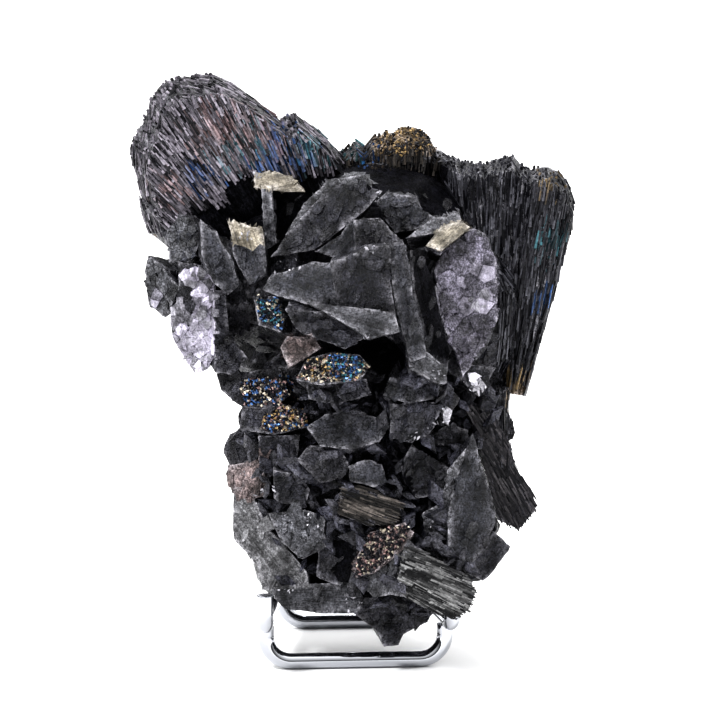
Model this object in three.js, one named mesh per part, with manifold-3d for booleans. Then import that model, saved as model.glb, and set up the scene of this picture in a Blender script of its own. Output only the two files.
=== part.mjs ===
// Berthierite and calcite specimen standing in a bent-rod stand, in millimetres with +Z up.
import * as THREE from "three";
import { mergeVertices } from "three/addons/utils/BufferGeometryUtils.js";
import Module from "manifold-3d";

const wasm = await Module();
wasm.setup();

// The front elevation: outlines are drawn as an eye in front of the specimen sees them.
const EYE_DISTANCE = 600;
const EYE_RISE = THREE.MathUtils.degToRad(8);
const SIGHT_X = 2;
const SIGHT_Z = 60;
const SIGHT_HEIGHT = 61; // height over the table of the point the eye looks at

// The stand: round rod, yawed a little so that its left side is nearer.
const ROD_RADIUS = 1.6;
const ROD_SIDES = 8;
const ROD_GAP = 0.3;
const STAND_X = 0.5;
const STAND_YAW = THREE.MathUtils.degToRad(4.3);
const FOOT_HALF_WIDTH = 17.9;
const FOOT_Y = -8.3;
const ARM_HEIGHT = 10.5;
const HOOK_HALF_WIDTH = 18.5;
const HOOK_Y = -17.8;
const HOOK_TIP_HEIGHT = 17.3;
const REAR_HALF_WIDTH = 13;
const REAR_Y = 27;
const REAR_HEIGHT = 58;
const BEND_RADIUS = 5;
const HOOK_BEND = 3.4;
const ROD_STEP = 2.8; // length of one straight piece of a rod

// The specimen
const BACK_SHARE = 0.62; // a plate's back outline as a share of its face
const ROOT_SHARE = 1.5; // a plate's whole depth as a share of its stated thickness
const WELD = 1e-4; // corners closer than this are one corner

const frontEye = new THREE.Vector3(
  SIGHT_X,
  -EYE_DISTANCE * Math.cos(EYE_RISE),
  SIGHT_HEIGHT + EYE_DISTANCE * Math.sin(EYE_RISE),
);

// The direction in which the eye sees a point of the front elevation.
function sight(x, z) {
  const rise = z - SIGHT_Z;
  const onPlane = new THREE.Vector3(
    x,
    rise * Math.sin(EYE_RISE),
    SIGHT_HEIGHT + rise * Math.cos(EYE_RISE),
  );
  return onPlane.sub(frontEye);
}

// The point of the front elevation at a given depth (+Y is away from the eye).
function seen(x, z, depth) {
  const ray = sight(x, z);
  return ray.multiplyScalar((depth - frontEye.y) / ray.y).add(frontEye);
}

// The point of the front elevation on a plane.
function seenOn(x, z, plane) {
  const ray = sight(x, z);
  const reach = -plane.distanceToPoint(frontEye) / plane.normal.dot(ray);
  return ray.multiplyScalar(reach).add(frontEye);
}

// A closed three.js geometry as a solid that can be joined and cut.
function solid(geometry) {
  const bare = new THREE.BufferGeometry();
  bare.setAttribute("position", geometry.getAttribute("position").clone());
  if (geometry.index) {
    bare.setIndex(geometry.index.clone());
  }
  const merged = mergeVertices(bare, WELD);
  return new wasm.Manifold(
    new wasm.Mesh({
      numProp: 3,
      vertProperties: merged.getAttribute("position").array,
      triVerts: new Uint32Array(merged.index.array),
    }),
  );
}

// A solid back as a three.js geometry.
function geometryOf(body) {
  const mesh = body.getMesh();
  const geometry = new THREE.BufferGeometry();
  geometry.setAttribute("position", new THREE.BufferAttribute(mesh.vertProperties, 3));
  geometry.setIndex(new THREE.BufferAttribute(mesh.triVerts, 1));
  geometry.computeVertexNormals();
  return geometry;
}

// A flat crystal that narrows to its root: its face is at z = 0 and its body below.
function slab(corners, thick) {
  const geometry = new THREE.ExtrudeGeometry(new THREE.Shape(corners), {
    depth: thick,
    bevelEnabled: false,
  });
  const position = geometry.getAttribute("position");
  for (let i = 0; i < position.count; i++) {
    const share = position.getZ(i) > 0 ? 1 : BACK_SHARE;
    position.setXY(i, share * position.getX(i), share * position.getY(i));
  }
  return geometry.translate(0, 0, -thick);
}

// A crystal plate: its face is an outline of the front elevation, on a plane that lies at
// `depth` under the outline's middle. The plane goes deeper by `turn` for each millimetre to
// the right and by `lean` for each millimetre up.
function plate({ face, depth, turn = 0, lean = 0, thick }) {
  const middle = new THREE.Vector2();
  face.forEach(([x, z]) => middle.add(new THREE.Vector2(x, z)));
  middle.divideScalar(face.length);
  const normal = new THREE.Vector3(turn, -1, lean).normalize();
  const centre = seen(middle.x, middle.y, depth);
  const plane = new THREE.Plane().setFromNormalAndCoplanarPoint(normal, centre);
  const across = new THREE.Vector3(0, 0, 1).cross(normal).normalize();
  const along = normal.clone().cross(across);
  const corners = face.map(([x, z]) => {
    const corner = seenOn(x, z, plane).sub(centre);
    return new THREE.Vector2(corner.dot(across), corner.dot(along));
  });
  const place = new THREE.Matrix4().makeBasis(across, along, normal).setPosition(centre);
  return solid(slab(corners, ROOT_SHARE * thick).applyMatrix4(place));
}

// The distance from the focus to an outline, in the direction of an angle.
function reachOf(outline, focus, angle) {
  const polar = outline.map(([x, z]) => ({
    angle: Math.atan2(z - focus[1], x - focus[0]),
    radius: Math.hypot(x - focus[0], z - focus[1]),
  }));
  polar.sort((first, second) => first.angle - second.angle);
  const last = polar.length - 2;
  const found = polar.findIndex((point, i) => i <= last && angle <= polar[i + 1].angle);
  const from = polar[found < 0 ? last : found];
  const to = polar[found < 0 ? last + 1 : found + 1];
  const share = THREE.MathUtils.clamp((angle - from.angle) / (to.angle - from.angle), 0, 1);
  return THREE.MathUtils.lerp(from.radius, to.radius, share);
}

// A sheaf of fibres that spread from a focus and end at a rim, with pleats on its front and
// back. `middle` and `half` are the depth of its middle and its half thickness, at the root and
// at the rim; `slant` moves its right and left ends deeper; `crown` rounds the rim.
function sheaf({ focus, rim, root, fibres, middle, half, slant = [0, 0], groove, crown }) {
  const angles = rim.map(([x, z]) => Math.atan2(z - focus[1], x - focus[0]));
  const first = Math.min(...angles);
  const last = Math.max(...angles);
  const columns = 2 * fibres;
  const box = new THREE.BoxGeometry(1, 1, 1, columns, 1, 2);
  const position = box.getAttribute("position");
  for (let i = 0; i < position.count; i++) {
    const across = position.getX(i) + 0.5;
    const along = position.getY(i) + 0.5;
    const layer = 2 * position.getZ(i);
    const column = Math.round(across * columns);
    const angle = THREE.MathUtils.lerp(first, last, across);
    const furrow = column % 2 === 1 ? 0 : groove * (0.6 + 0.4 * Math.sin(7 * column));
    const rimReach = reachOf(rim, focus, angle) - crown * layer ** 2 - 0.4 * furrow;
    const reach = THREE.MathUtils.lerp(root, rimReach, along);
    const taper = 1 - 0.45 * Math.abs(2 * across - 1) ** 4;
    const thickness = taper * THREE.MathUtils.lerp(half[0], half[1], along) - furrow;
    const level = THREE.MathUtils.lerp(middle[0], middle[1], along);
    const depth = level + THREE.MathUtils.lerp(slant[0], slant[1], across) + layer * thickness;
    const x = focus[0] + reach * Math.cos(angle);
    const z = focus[1] + reach * Math.sin(angle);
    const point = seen(x, z, depth);
    position.setXYZ(i, point.x, point.y, point.z);
  }
  return solid(box);
}

// A rough lump of massive mineral, from a faceted ball.
function lump({ at, size, seed, rough = 0.16, detail = 1 }) {
  const ball = new THREE.IcosahedronGeometry(1, detail);
  const position = ball.getAttribute("position");
  const corner = new THREE.Vector3();
  for (let i = 0; i < position.count; i++) {
    corner.fromBufferAttribute(position, i).normalize();
    const wave =
      Math.sin(5.1 * corner.x + seed) +
      Math.sin(6.3 * corner.y - 2 * seed) +
      Math.sin(5.7 * corner.z + 3 * seed) +
      Math.sin(9.1 * (corner.x + corner.y - corner.z) + seed);
    corner.multiplyScalar(1 + (rough * wave) / 4);
    position.setXYZ(
      i,
      at[0] + size[0] * corner.x,
      at[1] + size[1] * corner.y,
      at[2] + size[2] * corner.z,
    );
  }
  return solid(ball);
}

// Massive middle of the specimen that everything grows from
const MASSES = [
  { at: [-5, 8, 76], size: [27, 17, 17], seed: 1 },
  { at: [20, 9, 68], size: [15, 15, 20], seed: 2 },
  { at: [-26, 7, 73], size: [11, 14, 13], seed: 3 },
  { at: [0, 7, 54], size: [20, 16, 14], seed: 4 },
  { at: [2, 4, 31], size: [21, 16, 17], seed: 5 },
  { at: [4, 15, 84], size: [22, 14, 16], seed: 6 },
  { at: [-14, 5, 19], size: [6, 9, 8], seed: 7 },
  { at: [14, 4, 19], size: [7, 10, 9], seed: 8 },
];

// Fibrous sheaves
const SHEAVES = [
  {
    // left fan
    focus: [10, 45],
    rim: [
      [-40.6, 86], [-42, 90], [-42, 93.3], [-42.8, 96.5], [-44, 101.5], [-43, 105], [-41, 109],
      [-39.7, 112.6], [-37.6, 115.4], [-34.5, 116.6], [-28.5, 117.4], [-24.5, 116], [-20, 113],
      [-16, 110], [-14.2, 108.5], [-11.3, 109.5], [-6, 105.9], [-2.8, 102.2], [-1.4, 101],
    ],
    root: 36,
    fibres: 21,
    middle: [13, 13],
    half: [9, 12],
    slant: [8, -2],
    groove: 1.1,
    crown: 5,
  },
  {
    // right fan
    focus: [29, 30],
    rim: [
      [17, 102.8], [18.8, 101.4], [22, 100], [26.9, 99.4], [32.5, 101.1], [35.4, 98.4],
      [39.5, 98.8], [42.6, 97.1], [44.7, 93.4], [44.8, 88],
    ],
    root: 23.5,
    fibres: 13,
    middle: [11, 17],
    half: [8, 11],
    slant: [-2, 5],
    groove: 1.1,
    crown: 3,
  },
  {
    // ridge between the fans
    focus: [8, 30],
    rim: [
      [-2.6, 101.8], [-0.3, 102.4], [0.6, 104.6], [2.6, 103.2], [5.8, 105.6], [8.7, 105.6],
      [11, 106.9], [14.8, 106.1], [17, 102.8], [19.5, 101],
    ],
    root: 40,
    fibres: 8,
    middle: [19, 23],
    half: [7, 7],
    groove: 1.0,
    crown: 3,
  },
  {
    // upright bar under the right fan
    focus: [29, 20],
    rim: [[26, 55], [30.5, 55], [31.8, 54.6]],
    root: 20,
    fibres: 4,
    middle: [1, 4],
    half: [7, 7],
    groove: 0.7,
    crown: 1,
  },
];

// Crystal plates and blades, front to back where they overlap
const PLATES = [
  // rosette, upper blade and its twin behind
  {
    face: [
      [-16, 80.5], [-12, 86], [-8, 90.5], [-2, 96.3], [2.5, 97.3], [6.5, 93.8], [3, 89.8], [-7, 82],
    ],
    depth: -12, turn: -0.15, lean: 0.35, thick: 6,
  },
  {
    face: [[-13, 85], [-9.5, 91], [-4.5, 96.2], [-2, 96.3], [0, 92], [-8, 85]],
    depth: -8, lean: 0.5, thick: 6,
  },
  // tent blade, its two sides
  {
    face: [[-7.5, 81.8], [-2, 85.3], [0.8, 88.2], [1.4, 86], [1, 81.8], [-3, 80.4]],
    depth: -18, turn: -0.5, lean: 0.4, thick: 8,
  },
  {
    face: [[0.8, 88.2], [6, 88.5], [10.5, 84], [8, 82.5], [1, 81.8]],
    depth: -18.5, turn: 0.45, lean: 0.2, thick: 8,
  },
  // front plate: left side, right side and the stepped band below
  {
    face: [
      [-17.5, 74], [-15.8, 77.4], [-11, 78.5], [-8, 79.8], [-3.5, 79.5], [-2.5, 71], [-9, 71.2],
      [-14.5, 72.8],
    ],
    depth: -21, turn: -0.3, lean: 0.3, thick: 10,
  },
  {
    face: [[-4, 79.5], [0, 81], [4, 82.8], [8.4, 82.8], [8, 76], [9.4, 68.5], [-2.5, 70.5]],
    depth: -24.5, turn: 0.1, lean: -0.12, thick: 12,
  },
  {
    face: [[-9, 71.6], [-2, 71], [9.2, 69.6], [10, 65.6], [4, 64], [0, 66.6], [-4, 69]],
    depth: -26, lean: 0.25, thick: 9,
  },
  {
    face: [[-13, 70], [-4, 69.6], [3.6, 64.4], [-1, 62], [-6, 64], [-11, 66]],
    depth: -20.5, lean: -0.7, thick: 8,
  },
  // right upright blade: edge, foot and shaded side
  {
    face: [
      [7.6, 83], [10.5, 84.2], [12, 80], [12.6, 74], [15, 64], [15.4, 60.6], [12, 59.5], [11, 64],
      [9.5, 69], [8.4, 76],
    ],
    depth: -23, turn: 0.35, thick: 9,
  },
  {
    face: [[11.4, 62], [15.5, 61.6], [19.6, 58.4], [19.5, 55.4], [17.6, 55.2], [12, 58.2]],
    depth: -21, turn: 0.2, lean: 0.4, thick: 9,
  },
  {
    face: [[12, 82], [14.5, 82], [17.5, 74], [19, 66], [20.5, 62], [19.5, 57.5], [15, 61], [13, 70]],
    depth: -17, turn: 1.1, thick: 8,
  },
  // round scaly plate on the right, and the flaps over it
  {
    face: [
      [17, 78], [18.4, 82], [22, 85.3], [24.8, 86.5], [27.8, 84.8], [29.4, 80], [29.4, 73], [29.9, 69],
      [27.4, 62.4], [22.6, 56.6], [21.5, 60.5], [19, 66], [17.8, 71],
    ],
    depth: -13, turn: 0.3, lean: 0.05, thick: 8,
  },
  {
    face: [[15, 82.8], [18, 86.5], [22.4, 88], [24.2, 86.6], [18.2, 81.8]],
    depth: -14, lean: 0.9, turn: 0.2, thick: 4,
  },
  {
    face: [[11, 84.4], [16, 88], [22, 90], [22.4, 88], [18, 85.4]],
    depth: -11.5, lean: 0.8, turn: 0.3, thick: 4,
  },
  {
    face: [
      [5.5, 92], [7.4, 93.6], [13.3, 93], [14.4, 90], [17.4, 88.3], [14, 86.2], [9, 85.4],
      [6.4, 88.6],
    ],
    depth: -5, lean: 0.35, turn: 0.1, thick: 7,
  },
  // thin blades at the rosette's upper left
  {
    face: [[-19.3, 97.5], [-16, 98], [-12, 97.2], [-8.8, 93.6], [-13, 93.6], [-16, 94], [-19.3, 94.6]],
    depth: -3, lean: 1.2, thick: 3,
  },
  {
    face: [[-17.8, 95], [-15.8, 95], [-15.2, 88], [-14.6, 83], [-17, 81.8], [-17.6, 89]],
    depth: -6, turn: -0.3, thick: 9,
  },
  {
    face: [[-14.5, 93.5], [-9, 91.3], [-12, 86], [-14.6, 83], [-15.4, 88]],
    depth: -2, turn: 0.4, thick: 7,
  },
  // smooth blade and pale plate left of the rosette
  {
    face: [
      [-30, 88.2], [-26.6, 85.8], [-23.4, 80], [-22, 75], [-24.4, 73], [-27.4, 75.6], [-29.6, 80.4],
    ],
    depth: -11, turn: 0.25, lean: 0.1, thick: 9,
  },
  {
    face: [
      [-25, 89], [-21.5, 87.4], [-17.4, 86.4], [-16.6, 79], [-16.8, 76.8], [-20.4, 75],
      [-23.2, 80.4],
    ],
    depth: -10, turn: -0.2, lean: 0.35, thick: 8,
  },
  // scaly crust of the left flank
  {
    face: [
      [-36.8, 85.6], [-34.4, 89.2], [-32.2, 89], [-30.2, 86], [-30.4, 82.4], [-32, 79.6],
      [-36.4, 79.4],
    ],
    depth: -5, turn: -0.25, thick: 10,
  },
  {
    face: [[-40.4, 81], [-41.5, 75.4], [-40, 70.5], [-37, 68.4], [-35.6, 70.6], [-36, 78]],
    depth: 1, turn: -0.5, thick: 9,
  },
  {
    face: [[-37.3, 78.4], [-34, 74.4], [-35.8, 70.8], [-38.7, 75]],
    depth: -3.5, turn: -0.3, lean: 0.2, thick: 8,
  },
  {
    face: [[-36, 70.5], [-34.2, 72], [-31.2, 68.2], [-33, 66.2], [-36, 66.6]],
    depth: -5, turn: -0.2, lean: 0.4, thick: 9,
  },
  {
    face: [
      [-34.4, 79.8], [-30, 79.2], [-27, 77], [-26.8, 70], [-26.9, 62], [-28.5, 58], [-31, 57],
      [-34, 61], [-36, 65], [-34.4, 74],
    ],
    depth: -6.5, turn: -0.25, thick: 12,
  },
  {
    face: [[-27.2, 74], [-25, 74], [-24.2, 66], [-20.4, 60.4], [-23.6, 57], [-27, 57.4]],
    depth: -9.5, turn: 0.3, thick: 10,
  },
  // waist
  {
    face: [[-19.4, 73], [-14.4, 72.8], [-12.6, 69], [-14, 65.6], [-18.4, 67]],
    depth: -16, turn: -0.2, lean: 0.3, thick: 8,
  },
  {
    face: [[-14, 62.5], [-12.6, 65], [-7, 64.8], [-5.8, 62.4], [-9.4, 60], [-12.4, 58.4]],
    depth: -17.5, lean: 0.3, thick: 8,
  },
  {
    face: [[-11, 56], [-9, 60.2], [-3, 61.8], [2, 61], [4, 58.6], [2, 55.8], [-6, 55]],
    depth: -18, lean: 0.45, thick: 9,
  },
  {
    face: [[-9, 55.6], [3.4, 56.2], [4.4, 53], [-2, 51], [-8.4, 52]],
    depth: -15.5, lean: -0.35, thick: 8,
  },
  {
    face: [[-26.8, 57.4], [-20, 58], [-14, 58.6], [-12, 53], [-16, 50], [-21.8, 50.5], [-25.8, 54]],
    depth: -9, turn: -0.2, lean: 0.2, thick: 12,
  },
  {
    face: [[-21.6, 51], [-14, 51.4], [-8.6, 50], [-8.4, 46.6], [-15, 45], [-22.2, 46]],
    depth: -11, lean: 0.3, turn: -0.2, thick: 10,
  },
  {
    face: [[6.4, 53], [8, 56.6], [13, 56.6], [17.6, 54.8], [17.2, 52.4], [12, 51.2]],
    depth: -18.5, lean: 0.35, turn: 0.1, thick: 8,
  },
  {
    face: [[8, 51.2], [12, 51.4], [17, 51.6], [18.2, 50], [16.4, 45.4], [12.5, 43.2], [8, 44.2]],
    depth: -17, lean: -0.25, turn: 0.2, thick: 9,
  },
  {
    face: [[17.2, 54.4], [20, 55], [22.4, 52.4], [20.7, 49.8], [19.7, 46.9], [18.6, 49]],
    depth: -16, lean: 0.3, turn: 0.4, thick: 8,
  },
  {
    face: [
      [19.2, 62.2], [22, 61.6], [24.4, 59], [29.4, 58.6], [27.4, 54.6], [25.8, 52.6], [22.4, 55.6],
      [19.8, 57.6],
    ],
    depth: -11, turn: 0.3, lean: 0.15, thick: 9,
  },
  // lower cluster, upper part
  {
    face: [[-8.8, 46.6], [-5, 49.2], [0, 50.6], [8.4, 47.5], [6, 43.6], [0, 42], [-6, 42.8]],
    depth: -16, lean: 0.5, thick: 8,
  },
  {
    face: [[-10.8, 40], [-8, 43.2], [-2, 42.4], [0, 39.4], [-1.4, 36], [-6, 35.4]],
    depth: -16.5, turn: 0.15, lean: 0.1, thick: 8,
  },
  {
    face: [[-18.4, 44.8], [-10, 45], [-10.6, 39], [-14.6, 37.4], [-18.4, 40]],
    depth: -11, turn: -0.15, lean: -0.2, thick: 9,
  },
  {
    face: [[-15.4, 38], [-9.4, 37], [-8, 34], [-9, 30.6], [-15.2, 31.6]],
    depth: -13, turn: 0.1, lean: -0.3, thick: 9,
  },
  {
    face: [[-25.6, 42], [-24.2, 45.4], [-21, 46.4], [-17.4, 45], [-17.6, 39], [-24, 38.8]],
    depth: -5, turn: -0.35, lean: 0.15, thick: 12,
  },
  {
    face: [[-25, 37.2], [-24.4, 39], [-17.6, 40], [-16, 33], [-20, 32], [-23.6, 33.4]],
    depth: -6.5, turn: -0.3, lean: 0.1, thick: 12,
  },
  {
    face: [[-0.4, 38.6], [3, 40.4], [6.6, 39.4], [7.2, 36.2], [5, 34.4], [0, 35.8]],
    depth: -16, turn: 0.1, lean: 0.2, thick: 8,
  },
  {
    face: [[-1.6, 35.4], [4, 34.6], [10.6, 31], [9.4, 27.6], [3.4, 26.8], [-2.4, 29.4]],
    depth: -16.5, turn: 0.1, lean: 0.3, thick: 9,
  },
  {
    face: [[10, 38.8], [12.4, 43.2], [17, 40.2], [20.3, 38.4], [18.4, 33], [13.4, 32.2], [11.2, 35]],
    depth: -14.5, turn: 0.25, lean: 0.1, thick: 9,
  },
  {
    face: [[14, 44.2], [20.4, 47.4], [23.8, 46], [23.4, 42.4], [15, 43]],
    depth: -12, lean: 0.35, turn: 0.2, thick: 9,
  },
  // lower cluster, tall right blade: its two sides
  {
    face: [
      [24.6, 45.6], [26.2, 40], [28, 34], [29.5, 28.2], [27.5, 23.5], [23.6, 17.6], [19.6, 18.8],
      [19.7, 30], [21, 36],
    ],
    depth: -17, turn: 0.35, lean: 0.1, thick: 9,
  },
  {
    face: [
      [23.2, 42.4], [19.4, 38], [17.8, 31.2], [14.2, 29.4], [15.4, 23.4], [17.4, 20.4], [20, 19],
      [20, 31],
    ],
    depth: -17, turn: -0.3, thick: 9,
  },
  {
    face: [[28.7, 25.8], [32.3, 22.8], [30, 19], [26.6, 15.6], [23.4, 17.4], [26, 22]],
    depth: -9, turn: 0.3, thick: 9,
  },
  // lower cluster, smooth lens at the left and its foot
  {
    face: [
      [-23.4, 34.4], [-20.2, 35], [-16.8, 27], [-12.6, 22.4], [-8.6, 17.6], [-8, 14.6], [-17.6, 14],
      [-18.6, 19], [-23.4, 24.2],
    ],
    depth: -9, turn: -0.25, lean: 0.1, thick: 12,
  },
  {
    face: [[-16.4, 29.4], [-9, 30.2], [-5, 28.6], [-4.6, 22.6], [-9.6, 20], [-13.8, 23.6]],
    depth: -13, lean: 0.2, turn: 0.05, thick: 9,
  },
  {
    face: [[-5.6, 28.6], [1.4, 27.8], [4, 25.6], [1.4, 17], [-2, 14.6], [-7, 16.6]],
    depth: -12, lean: 0.1, thick: 9,
  },
  {
    face: [
      [-15.4, 12.2], [-13, 10.2], [-6, 9.3], [0.6, 9.3], [3.4, 11.4], [1, 15.4], [-8, 15.4],
      [-15.6, 14.6],
    ],
    depth: -12.5, lean: 0.2, thick: 14,
  },
  // lower cluster, striated block in front: crust, left face and right face
  {
    face: [[1, 16.4], [0.7, 19.4], [4, 25.6], [11, 27.6], [13, 25.6], [10, 21.4], [5, 17.4]],
    depth: -19.5, turn: -0.3, lean: 0.5, thick: 10,
  },
  {
    face: [[1.6, 15.6], [8, 20.4], [11.6, 24.2], [14.2, 21.6], [12.4, 12.4], [8, 13], [4.6, 12.4]],
    depth: -21, turn: -0.25, lean: 0.1, thick: 12,
  },
  {
    face: [
      [11, 22.6], [14, 22.4], [19, 19], [23.4, 17.2], [25.2, 13.6], [23.9, 10], [21, 8.4], [17, 9.3],
      [11, 12.4], [9.6, 16],
    ],
    depth: -22, turn: 0.25, lean: 0.1, thick: 14,
  },
  {
    face: [
      [0.6, 9.4], [5.2, 6], [6.8, 2.6], [9.7, 3], [10.7, 5.2], [15.5, 7.6], [17, 9.6], [11, 13],
      [3, 12.6],
    ],
    depth: -13, turn: 0.15, lean: 0.15, thick: 12,
  },
  // fibrous bar running down to the right, its face and its outer side
  {
    face: [
      [22.4, 51.2], [28, 50], [31.6, 44], [33, 38.6], [36.8, 33.4], [37.2, 30], [33.6, 26],
      [29.6, 28], [27.5, 36], [25.4, 45.6],
    ],
    depth: -6, turn: 0.2, lean: 0.1, thick: 13,
  },
];

// Blades on the sides and the back: middle, direction the face looks in, half width, half
// height, thickness and turn in the face
const BACK_BLADES = [
  { at: [-14, 25.5, 60], faces: [-0.3, 1, 0.2], size: [15, 11], thick: 9, spin: 0.3 },
  { at: [14, 26, 62], faces: [0.4, 1, 0.1], size: [14, 16], thick: 9, spin: 0.9 },
  { at: [2, 23, 46], faces: [0.1, 1, -0.3], size: [17, 9], thick: 8, spin: -0.4 },
  { at: [-9, 18, 31], faces: [-0.5, 1, 0], size: [11, 13], thick: 9, spin: 0.5 },
  { at: [12, 17, 27], faces: [0.5, 1, -0.2], size: [13, 10], thick: 9, spin: -0.7 },
  { at: [2, 22, 80], faces: [0, 1, 0.4], size: [16, 9], thick: 10, spin: 0.15 },
  { at: [-31, 14, 70], faces: [-1, 0.5, 0.1], size: [9, 11], thick: 9, spin: 0.4 },
  { at: [27, 10, 45], faces: [1, 0.6, 0], size: [8, 12], thick: 10, spin: 0.2 },
  { at: [-18, 10, 46], faces: [-1, 0.6, -0.2], size: [9, 8], thick: 9, spin: 0.6 },
  { at: [21, 8, 30], faces: [1, 0.4, 0.2], size: [10, 9], thick: 9, spin: -0.3 },
  { at: [-16, 8, 24], faces: [-1, 0.3, -0.3], size: [9, 8], thick: 9, spin: 0.8 },
];

// A tabular crystal with a six-sided outline.
function tablet({ at, faces, size, thick, spin }) {
  const outline = [[1, 0.1], [0.55, 0.9], [-0.4, 1], [-1, 0.2], [-0.7, -0.8], [0.35, -1]];
  const corners = outline.map(([u, v]) => new THREE.Vector2(u * size[0], v * size[1]));
  const out = new THREE.Vector3(...faces).normalize();
  const turned = new THREE.Quaternion().setFromUnitVectors(new THREE.Vector3(0, 0, 1), out);
  const geometry = slab(corners, thick);
  geometry.rotateZ(spin);
  geometry.applyQuaternion(turned);
  return solid(geometry.translate(...at));
}

// A path of straight runs with rounded bends at its inner points.
function bentPath(points, bends) {
  const path = new THREE.CurvePath();
  let from = points[0];
  for (let i = 1; i < points.length - 1; i++) {
    const reachIn = points[i - 1].clone().sub(points[i]).setLength(bends[i - 1]);
    const reachOut = points[i + 1].clone().sub(points[i]).setLength(bends[i - 1]);
    const start = points[i].clone().add(reachIn);
    const end = points[i].clone().add(reachOut);
    const pull = 0.552;
    path.add(new THREE.LineCurve3(from, start));
    path.add(
      new THREE.CubicBezierCurve3(
        start,
        start.clone().lerp(points[i], pull),
        end.clone().lerp(points[i], pull),
        end,
      ),
    );
    from = end;
  }
  path.add(new THREE.LineCurve3(from, points[points.length - 1]));
  return path;
}

// A round rod along a path of the stand, turned to its place; its flats lie level.
function rodAlong(path, radius) {
  const section = new THREE.Shape();
  const corner = radius / Math.cos(Math.PI / ROD_SIDES);
  for (let i = 0; i < ROD_SIDES; i++) {
    const angle = ((i + 0.5) * 2 * Math.PI) / ROD_SIDES;
    const point = [corner * Math.cos(angle), corner * Math.sin(angle)];
    if (i === 0) {
      section.moveTo(...point);
    } else {
      section.lineTo(...point);
    }
  }
  section.closePath();
  const steps = Math.ceil(path.getLength() / ROD_STEP);
  const rod = new THREE.ExtrudeGeometry(section, { steps, extrudePath: path, bevelEnabled: false });
  return rod.rotateZ(STAND_YAW).translate(STAND_X, 0, 0);
}

// Paths of the four rods, in the stand's own frame
function frontFootPath() {
  const top = ARM_HEIGHT - ROD_RADIUS - ROD_GAP;
  const points = [
    new THREE.Vector3(-FOOT_HALF_WIDTH, FOOT_Y, top),
    new THREE.Vector3(-FOOT_HALF_WIDTH, FOOT_Y, ROD_RADIUS),
    new THREE.Vector3(FOOT_HALF_WIDTH, FOOT_Y, ROD_RADIUS),
    new THREE.Vector3(FOOT_HALF_WIDTH, FOOT_Y, top),
  ];
  return bentPath(points, [BEND_RADIUS, BEND_RADIUS]);
}

function rearFramePath() {
  const points = [
    new THREE.Vector3(-REAR_HALF_WIDTH, REAR_Y, REAR_HEIGHT),
    new THREE.Vector3(-REAR_HALF_WIDTH, REAR_Y, ROD_RADIUS),
    new THREE.Vector3(REAR_HALF_WIDTH, REAR_Y, ROD_RADIUS),
    new THREE.Vector3(REAR_HALF_WIDTH, REAR_Y, REAR_HEIGHT),
  ];
  return bentPath(points, [BEND_RADIUS, BEND_RADIUS]);
}

// An arm, from the tip of its hook down round the bend and back to the rear frame.
function armPath(side) {
  const end = REAR_Y - 2 * ROD_RADIUS - ROD_GAP;
  const points = [
    new THREE.Vector3(side * HOOK_HALF_WIDTH, HOOK_Y, HOOK_TIP_HEIGHT),
    new THREE.Vector3(side * HOOK_HALF_WIDTH, HOOK_Y, ARM_HEIGHT),
    new THREE.Vector3(side * FOOT_HALF_WIDTH, FOOT_Y, ARM_HEIGHT),
    new THREE.Vector3(side * REAR_HALF_WIDTH, end, ARM_HEIGHT),
  ];
  return bentPath(points, [HOOK_BEND, BEND_RADIUS]);
}

const rodPaths = {
  front_foot: frontFootPath(),
  rear_frame: rearFramePath(),
  left_arm: armPath(-1),
  right_arm: armPath(1),
};

// The largest of the bodies that a solid is made of, without hollows inside.
function outerBody(body) {
  return body.decompose().sort((first, second) => second.volume() - first.volume())[0];
}

// The specimen: everything grown into one body, clear of the rods it rests on
function crystalCluster() {
  const grown = [
    ...MASSES.map(lump),
    ...SHEAVES.map(sheaf),
    ...PLATES.map(plate),
    ...BACK_BLADES.map(tablet),
  ];
  const body = outerBody(wasm.Manifold.union(grown));
  const rods = Object.values(rodPaths).map((path) => solid(rodAlong(path, ROD_RADIUS + ROD_GAP)));
  return outerBody(body.subtract(wasm.Manifold.union(rods)));
}

const calcite = new THREE.MeshStandardMaterial({ color: 0x2a2a32, roughness: 0.45, metalness: 0.1 });

const specimen = new THREE.Mesh(geometryOf(crystalCluster()), calcite);
specimen.name = "crystal_cluster";

const placed = new THREE.Group();
placed.add(specimen);
for (const [name, path] of Object.entries(rodPaths)) {
  const chrome = new THREE.MeshStandardMaterial({ color: 0xd8dadd, roughness: 0.08, metalness: 1 });
  const rod = new THREE.Mesh(rodAlong(path, ROD_RADIUS), chrome);
  rod.name = name;
  placed.add(rod);
}

// The origin is on the table, under the middle of the object's box.
const box = new THREE.Box3().setFromObject(placed);
const middle = box.getCenter(new THREE.Vector3());
placed.position.set(-middle.x, -middle.y, -box.min.z);

const part = new THREE.Group();
part.add(placed);

export default part;
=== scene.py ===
import bpy
import bmesh
import math
import random
import numpy as np
from mathutils import Matrix, Vector, noise
from mathutils.bvhtree import BVHTree
from mathutils.kdtree import KDTree


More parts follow.
